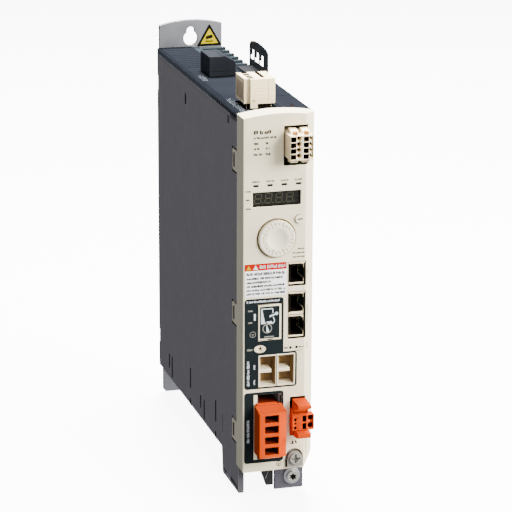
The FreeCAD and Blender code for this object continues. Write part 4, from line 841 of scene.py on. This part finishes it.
def make_flap():
    """Hinged pale flap with a dark foil: plain pictogram of a sheet, a tool and a turning screw.

    The foil and its marks stop short of the hinge, so that they clear the cover when the flap is open.
    """
    remade("resistor_flap", "cream", 0.25)
    form = bmesh.new()
    corners = [(-13.2, -23.4), (-0.45, -23.4), (-0.45, -2.6), (-13.2, -2.6)]
    prism_into(form, rounded_outline(corners, 0.5), on_front(FOIL), 0.15)
    finished("flap_foil", form, "resistor_flap", "panel")
    place = on_front(FLAP_FOIL)
    form = bmesh.new()
    sheet = [(-12.1, -4.1), (-4.9, -4.1), (-4.7, -6.9)]
    bent = [(-4.5, -9.6), (-3.6, -11.8), (-4.0, -13.2), (-5.2, -14.0)]
    for line in (sheet, bent):
        for start, end in zip(line, line[1:]):
            strip(form, place, start, end, 0.6, STROKE)
    page = [(-12.4, -3.8), (-11.8, -3.8), (-10.0, -12.4), (-9.4, -13.8), (-12.4, -13.8)]
    prism_into(form, page, place, STROKE)
    prism_into(form, [(-8.9, -12.5), (-5.4, -12.2), (-5.0, -14.2), (-8.4, -13.6)], place, STROKE)
    strip(form, place, (-7.0, -9.2), (-3.0, -7.8), 1.0, BOLD)
    disc(form, place, (-2.4, -7.5), 1.1, BOLD)
    prism_into(form, [(-9.0, -14.9), (-8.5, -14.9), (-6.9, -19.3), (-8.9, -19.3)], place, BOLD)
    finished("flap_pictogram", form, "info_label", "pale_ink", body="resistor_flap")
    form = bmesh.new()
    ring(form, place, (-8.3, -17.0), 3.1, 0.55, FINE)
    strip(form, place, (-10.2, -22.3), (-4.0, -22.3), 0.7, STROKE)
    finished("flap_caption", form, "info_label", "collar", body="resistor_flap")


# --- plugs
def make_io_plug():
    """Cream plug with dark slots, tan wire funnels and tan latch pockets, all three in painted shade."""
    low, high = span("io_plug")
    front, back = low.y, low.y + 9
    first_row, row_pitch = 95.6, 3.65

    def paint(centre, normal):
        inside = front + 0.3 < centre.y < front + 7.2 and 2.7 < centre.x < 17.1 and 92.9 < centre.z < 107.9
        return 1 if inside else 0

    remade("io_plug", "plug_cream void", 0.2, paint)
    # Tan cones in the wire holes: painted shade.
    form = bmesh.new()
    for column in (7.9, 16.0):
        for row in range(4):
            funnel(form, (column, first_row + row_pitch * row), front - 0.04, 1.35, 1.2)
    finished("io_funnels", form, "io_plug", "funnel")
    # Tan blocks in the latch pockets under the top bar: painted shade.
    form = bmesh.new()
    for left in (4.2, 11.4):
        box_into(form, (left + 0.7, front + 1.5, high.z - 2.5), (left + 3.6, back, high.z - 0.9))
        box_into(form, (left + 0.5, front + 1.4, 92.0), (left + 4.1, back, 92.8))
    softened(finished("io_latch_pocket_shades", form, "io_plug", "latch"), 0.25)


def funnel(form, centre, front, radius, depth, sides=24):
    """A shallow cone that opens forward, with a dark bore left to the plug behind it."""
    rims = []
    for reach, back in ((radius, 0.0), (0.62 * radius, depth)):
        spots = [around(centre, (reach, reach), step / sides) for step in range(sides)]
        rims.append([form.verts.new(Vector((across, front + back, up)) * MM) for across, up in spots])
    for step in range(sides):
        following = (step + 1) % sides
        form.faces.new((rims[0][step], rims[0][following], rims[1][following], rims[1][step]))


def make_motor_plug():
    """Orange power plug with darker windows and steel cages; its wide body reaches a little further left."""
    reach, body_back = 1.1 * MM, -225 * MM
    # The wire windows and the part inside the housing take the darker orange: painted shade.
    plug = remade("motor_plug", "orange orange_deep", 0.3, motor_paint)
    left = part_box("motor_plug")[0].x
    for vertex in plug.data.vertices:
        if vertex.co.x < left + 0.6 * MM and vertex.co.y < body_back:
            vertex.co.x -= reach
    remade("motor_plug_clamps", "zinc", 0.15)
    form = bmesh.new()
    box_into(form, (left / MM + 0.2, -229.4, -66.95), (-2.2, -227.2, -65.7))
    softened(finished("motor_plug_ledge", form, "motor_plug", "orange"), 0.15)


def motor_paint(centre, normal):
    """The wire windows and the part inside the housing are in deep shade."""
    windows = -13.2 < centre.x < -4.0 and -98.2 < centre.z < -69 and centre.y > -239.4
    return 1 if windows or centre.y > FRONT + 0.6 else 0


def make_brake_plug():
    """Orange two-pole plug and its two release levers."""
    remade("brake_plug", "orange void orange_deep", 0.25, brake_paint)
    remade("brake_lever_upper", "orange", 0.3)
    remade("brake_lever_lower", "orange", 0.3)


def brake_paint(centre, normal):
    """Painted shade: slots and index dots are black inside; wire holes and the part in the housing are dark
    orange.
    """
    inside = -84.2 < centre.z < -74.4 and -233.2 < centre.y < -225
    if inside and (13.3 < centre.x < 15.9 or 7.5 < centre.x < 9.5):
        return 1
    return 2 if (inside and 16.2 < centre.x < 20.6) or centre.y > FRONT + 0.6 else 0


def make_safety_plug():
    """Cream plug with moulded ribs on its side and front and a rivet on its tongue; its wire slots, groove
    and underside dark with painted shade.
    """
    low, high = span("safety_plug")
    left, front, top = low.x, low.y, high.z
    rib_pitch, line_pitch, slot_half = 1.9, 2.0, 1.9

    def paint(centre, normal):
        inside = top - 8.2 < centre.z < top - 0.05
        slot = -12.1 < centre.x < -8.9 and -195.9 < centre.y < -177.3
        groove = -3.5 < centre.x < -1.5 and centre.y > -194.2
        tongue = -12.0 < centre.x < -6.7 and centre.y < front + 2.5
        below = centre.z < 120.5 and not tongue
        return 1 if inside and (slot or groove) or below else 0

    remade("safety_plug", "plug_cream void", 0.12, paint)
    form = bmesh.new()
    for index in range(9):
        along = -179.6 - index * rib_pitch
        box_into(form, (left - 0.3, along - 0.45, 122.6), (left + 0.2, along + 0.45, 133.7))
    # The side ribs take a darker copy of the plug's cream: painted shade.
    softened(finished("safety_ribs", form, "safety_plug", "plug_shade"), 0.1)
    form = bmesh.new()
    for index in range(5):
        level = 132.6 - index * line_pitch
        box_into(form, (-9.6, front - 0.2, level - 0.35), (-0.6, front + 0.2, level + 0.35))
    box_into(form, (-0.2, front - 0.25, 122.2), (3.4, front + 0.2, 134.9))
    softened(finished("safety_front_ribs", form, "safety_plug", "plug_cream"), 0.1)
    form = bmesh.new()
    for along in (-179.1, -184.2, -189.3, -194.3):
        box_into(form, (-12.4, along - slot_half, top + 0.01), (-8.6, along + slot_half, top + 0.1))
    box_into(form, (-3.7, -194.5, top + 0.01), (-1.3, -177.2, top + 0.1))
    finished("safety_slot_shade", form, "safety_plug", "void")
    form = bmesh.new()
    disc(form, on_face(front), (-9.6, 122.4), 0.75, 0.25)
    finished("safety_rivet", form, "safety_plug", "funnel")


def make_mains_plug():
    """Dark plug with three marks on its top and a line across its front, all in painted shade."""
    remade("mains_plug", "anthracite", 0.35)
    low, high = span("mains_plug")
    form = bmesh.new()
    for index in range(3):
        along = -86.4 - index * 7
        box_into(form, (-1.6, along - 0.9, high.z - 0.1), (0.4, along + 0.9, high.z + 0.02))
    box_into(form, (-11.6, low.y - 0.02, 121.4), (2.6, low.y + 0.15, 121.8))
    softened(finished("mains_plug_shades", form, "mains_plug", "void"), 0.05, 1)


# --- screws and metalwork
def make_metalwork():
    """Ground bracket and screws, the earth screw with its collar, a painted highlight line on the cable
    guide, and the fan.
    """
    remade("ground_bracket", "bracket", 0.2)
    remade("ground_washer", "zinc", 0.3)
    # The floor of the screw's drive socket takes painted shade.
    remade("ground_screw", "steel void", 0.15, lambda centre, normal: 1 if star_bottom(centre) else 0)
    remade("pe_screw", "collar", 0.25)
    remade("pe_bar", "zinc", 0.2)
    remade("fan_screws", "steel", 0.3)
    remade("fan_guard", "chrome", 0.2)
    low, high = span("pe_screw")
    front, across, level = low.y, (low.x + high.x) / 2, (low.z + high.z) / 2
    form = bmesh.new()
    disc(form, on_face(front + 2.5), (across, level), 4.7, 1.0)
    box_into(form, (across - 5.0, front + 1.6, -110.0), (across + 5.2, front + 2.6, level))
    finished("pe_collar", form, "pe_screw", "collar")
    form = bmesh.new()
    for u, v in ((9.2, -104.6), (10.4, -104.2), (11.2, -105.4)):
        strip(form, on_face(front), (u - 0.5, v - 1.0), (u + 0.3, v + 0.9), 0.42, 0.03)
    finished("pe_screw_marks", form, "pe_screw", "ink")
    # A thin raised line in pale grey on the cable guide's front: painted highlight.
    form = bmesh.new()
    place = on_face(span("cable_guide")[0].y)
    curve = [(-4.6, -113.0), (-3.2, -115.2), (-2.9, -117.6), (-4.0, -120.2), (-5.0, -122.8)]
    for start, end in zip(curve, curve[1:]):
        strip(form, place, start, end, 0.4, STROKE)
    finished("guide_highlight", form, "cable_guide", "collar")
    remade("fan_frame", "dark", 0.4)
    remade("fan_rotor", "dark", 0.25)


def star_bottom(centre):
    """True on the floor of the drive socket."""
    return -216.7 < centre.y < -216.5 and abs(centre.x - 11.9) < 2.8 and abs(centre.z + 121.4) < 2.8


def make_inside():
    """Boards, power stage and encoder: (node, finish, rounding)."""
    rows = (("control_board", "board", 0), ("power_board", "board", 0), ("board_standoffs", "steel", 0.1),
            ("power_module", "dark", 0.6), ("bus_capacitors", "sleeve", 0.8), ("choke", "varnish", 0),
            ("transformer", "tape", 0.4), ("encoder_body", "dark", 0.2), ("encoder_slider", "dark", 0.1))
    for node, finish, width in rows:
        remade(node, finish, width)


# --- studio
def make_floor():
    """Wide pale floor just under the object, which only the camera sees lit."""
    half_side, gap, tone_patch, gloss_patch, glow = 14, 0.0005, 900, 300, 8.0
    form = bmesh.new()
    bmesh.ops.create_grid(form, x_segments=2, y_segments=2, size=half_side)
    mesh = bpy.data.meshes.new("studio_floor")
    form.to_mesh(mesh)
    form.free()
    floor = bpy.data.objects.new("studio_floor", mesh)
    floor.location = (0, 0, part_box("rear_plate")[0].z - gap)
    bpy.context.scene.collection.objects.link(floor)
    surface = Surface("floor_paint", specular=0.0)
    dark, pale = (0.60, 0.60, 0.60, 1), (0.62, 0.62, 0.62, 1)
    tone = surface.blended(surface.ranged(surface.noise(tone_patch), 0, 1), dark, pale)
    surface.link(tone, surface.shader.inputs["Base Color"])
    surface.link(surface.ranged(surface.noise(gloss_patch), 0.85, 0.95), surface.shader.inputs["Roughness"])
    surface.shader.inputs["Emission Color"].default_value = (1.0, 1.0, 1.0, 1.0)
    surface.shader.inputs["Emission Strength"].default_value = glow
    mesh.materials.append(surface.material)
    floor.visible_diffuse = False
    floor.visible_glossy = False


def add_light(name, spot, target, size, power, tint=(1, 1, 1)):
    """A round area light aimed at a point."""
    light = bpy.data.lights.new(name, "AREA")
    light.shape = "DISK"
    light.size = size
    light.energy = power
    light.color = tint
    lamp = bpy.data.objects.new(name, light)
    lamp.location = spot
    lamp.rotation_euler = (Vector(target) - Vector(spot)).to_track_quat("-Z", "Y").to_euler()
    bpy.context.scene.collection.objects.link(lamp)


def make_world(bright_side, low, high):
    """Soft surroundings: brightest towards one side, darkest on the opposite one."""
    world = bpy.data.worlds.new("studio")
    world.use_nodes = True
    tree = world.node_tree
    way = tree.nodes.new("ShaderNodeTexCoord").outputs["Generated"]
    lean = tree.nodes.new("ShaderNodeVectorMath")
    lean.operation = "DOT_PRODUCT"
    lean.inputs[1].default_value = Vector(bright_side).normalized()
    tree.links.new(way, lean.inputs[0])
    grade = tree.nodes.new("ShaderNodeMapRange")
    grade.interpolation_type = "SMOOTHSTEP"
    for name, value in (("From Min", -0.5), ("From Max", 0.9), ("To Min", low), ("To Max", high)):
        grade.inputs[name].default_value = value
    tree.links.new(lean.outputs["Value"], grade.inputs["Value"])
    background = tree.nodes["Background"]
    tree.links.new(grade.outputs["Result"], background.inputs["Strength"])
    tint = tree.nodes.new("ShaderNodeMapRange")
    tint.data_type = "FLOAT_VECTOR"
    lowest_tint, highest_tint = tint.inputs[9], tint.inputs[10]
    lowest_tint.default_value = (0.88, 0.97, 1.12)
    highest_tint.default_value = (1.02, 1.0, 0.95)
    tree.links.new(lean.outputs["Value"], tint.inputs["Vector"])
    tree.links.new(tint.outputs["Vector"], background.inputs["Color"])
    bpy.context.scene.world = world


def make_studio():
    """A broad key from the upper right, a side light, one from above and behind, and a pale lit floor."""
    make_world((0.55, -0.8, 0.1), 0.2, 1.25)
    target = (0, -0.12, 0.0)
    add_light("key", (0.95, -1.3, 0.8), target, 0.8, 68, (1.0, 0.98, 0.93))
    add_light("side", (1.3, -0.45, 0.3), target, 0.6, 46, (1.0, 0.98, 0.94))
    add_light("top", (0.12, 0.25, 1.3), (0, -0.15, 0.1), 0.5, 175)
    make_floor()


def make_camera():
    """Camera at the solved viewpoint: long lens, a little above and to the left."""
    azimuth, elevation, roll = (math.radians(angle) for angle in (-15.807, 16.241, 0.230))
    back = Vector((math.sin(azimuth) * math.cos(elevation), -math.cos(azimuth) * math.cos(elevation),
                   math.sin(elevation)))
    right = (-back).cross(Vector((0, 0, 1))).normalized()
    up = right.cross(-back)
    turned_right = right * math.cos(roll) + up * math.sin(roll)
    turned_up = up * math.cos(roll) - right * math.sin(roll)
    matrix = Matrix((turned_right, turned_up, back)).transposed().to_4x4()
    matrix.translation = Vector((-0.4171, -1.6445, 0.4599))
    camera = bpy.data.cameras.new("view")
    camera.lens = 174.49
    camera.sensor_width = 36
    camera.clip_end = 60
    holder = bpy.data.objects.new("view", camera)
    holder.matrix_world = matrix
    bpy.context.scene.collection.objects.link(holder)
    bpy.context.scene.camera = holder


make_camera()
make_studio()
make_housing()
make_flange_marks()
make_side_shades()
make_lid_details()
make_plate_sticker()
make_front_print()
make_info_label()
make_dark_foils()
make_display()
make_dial()
make_button()
make_sockets()
make_flap()
make_io_plug()
make_motor_plug()
make_brake_plug()
make_safety_plug()
make_mains_plug()
make_metalwork()
make_inside()
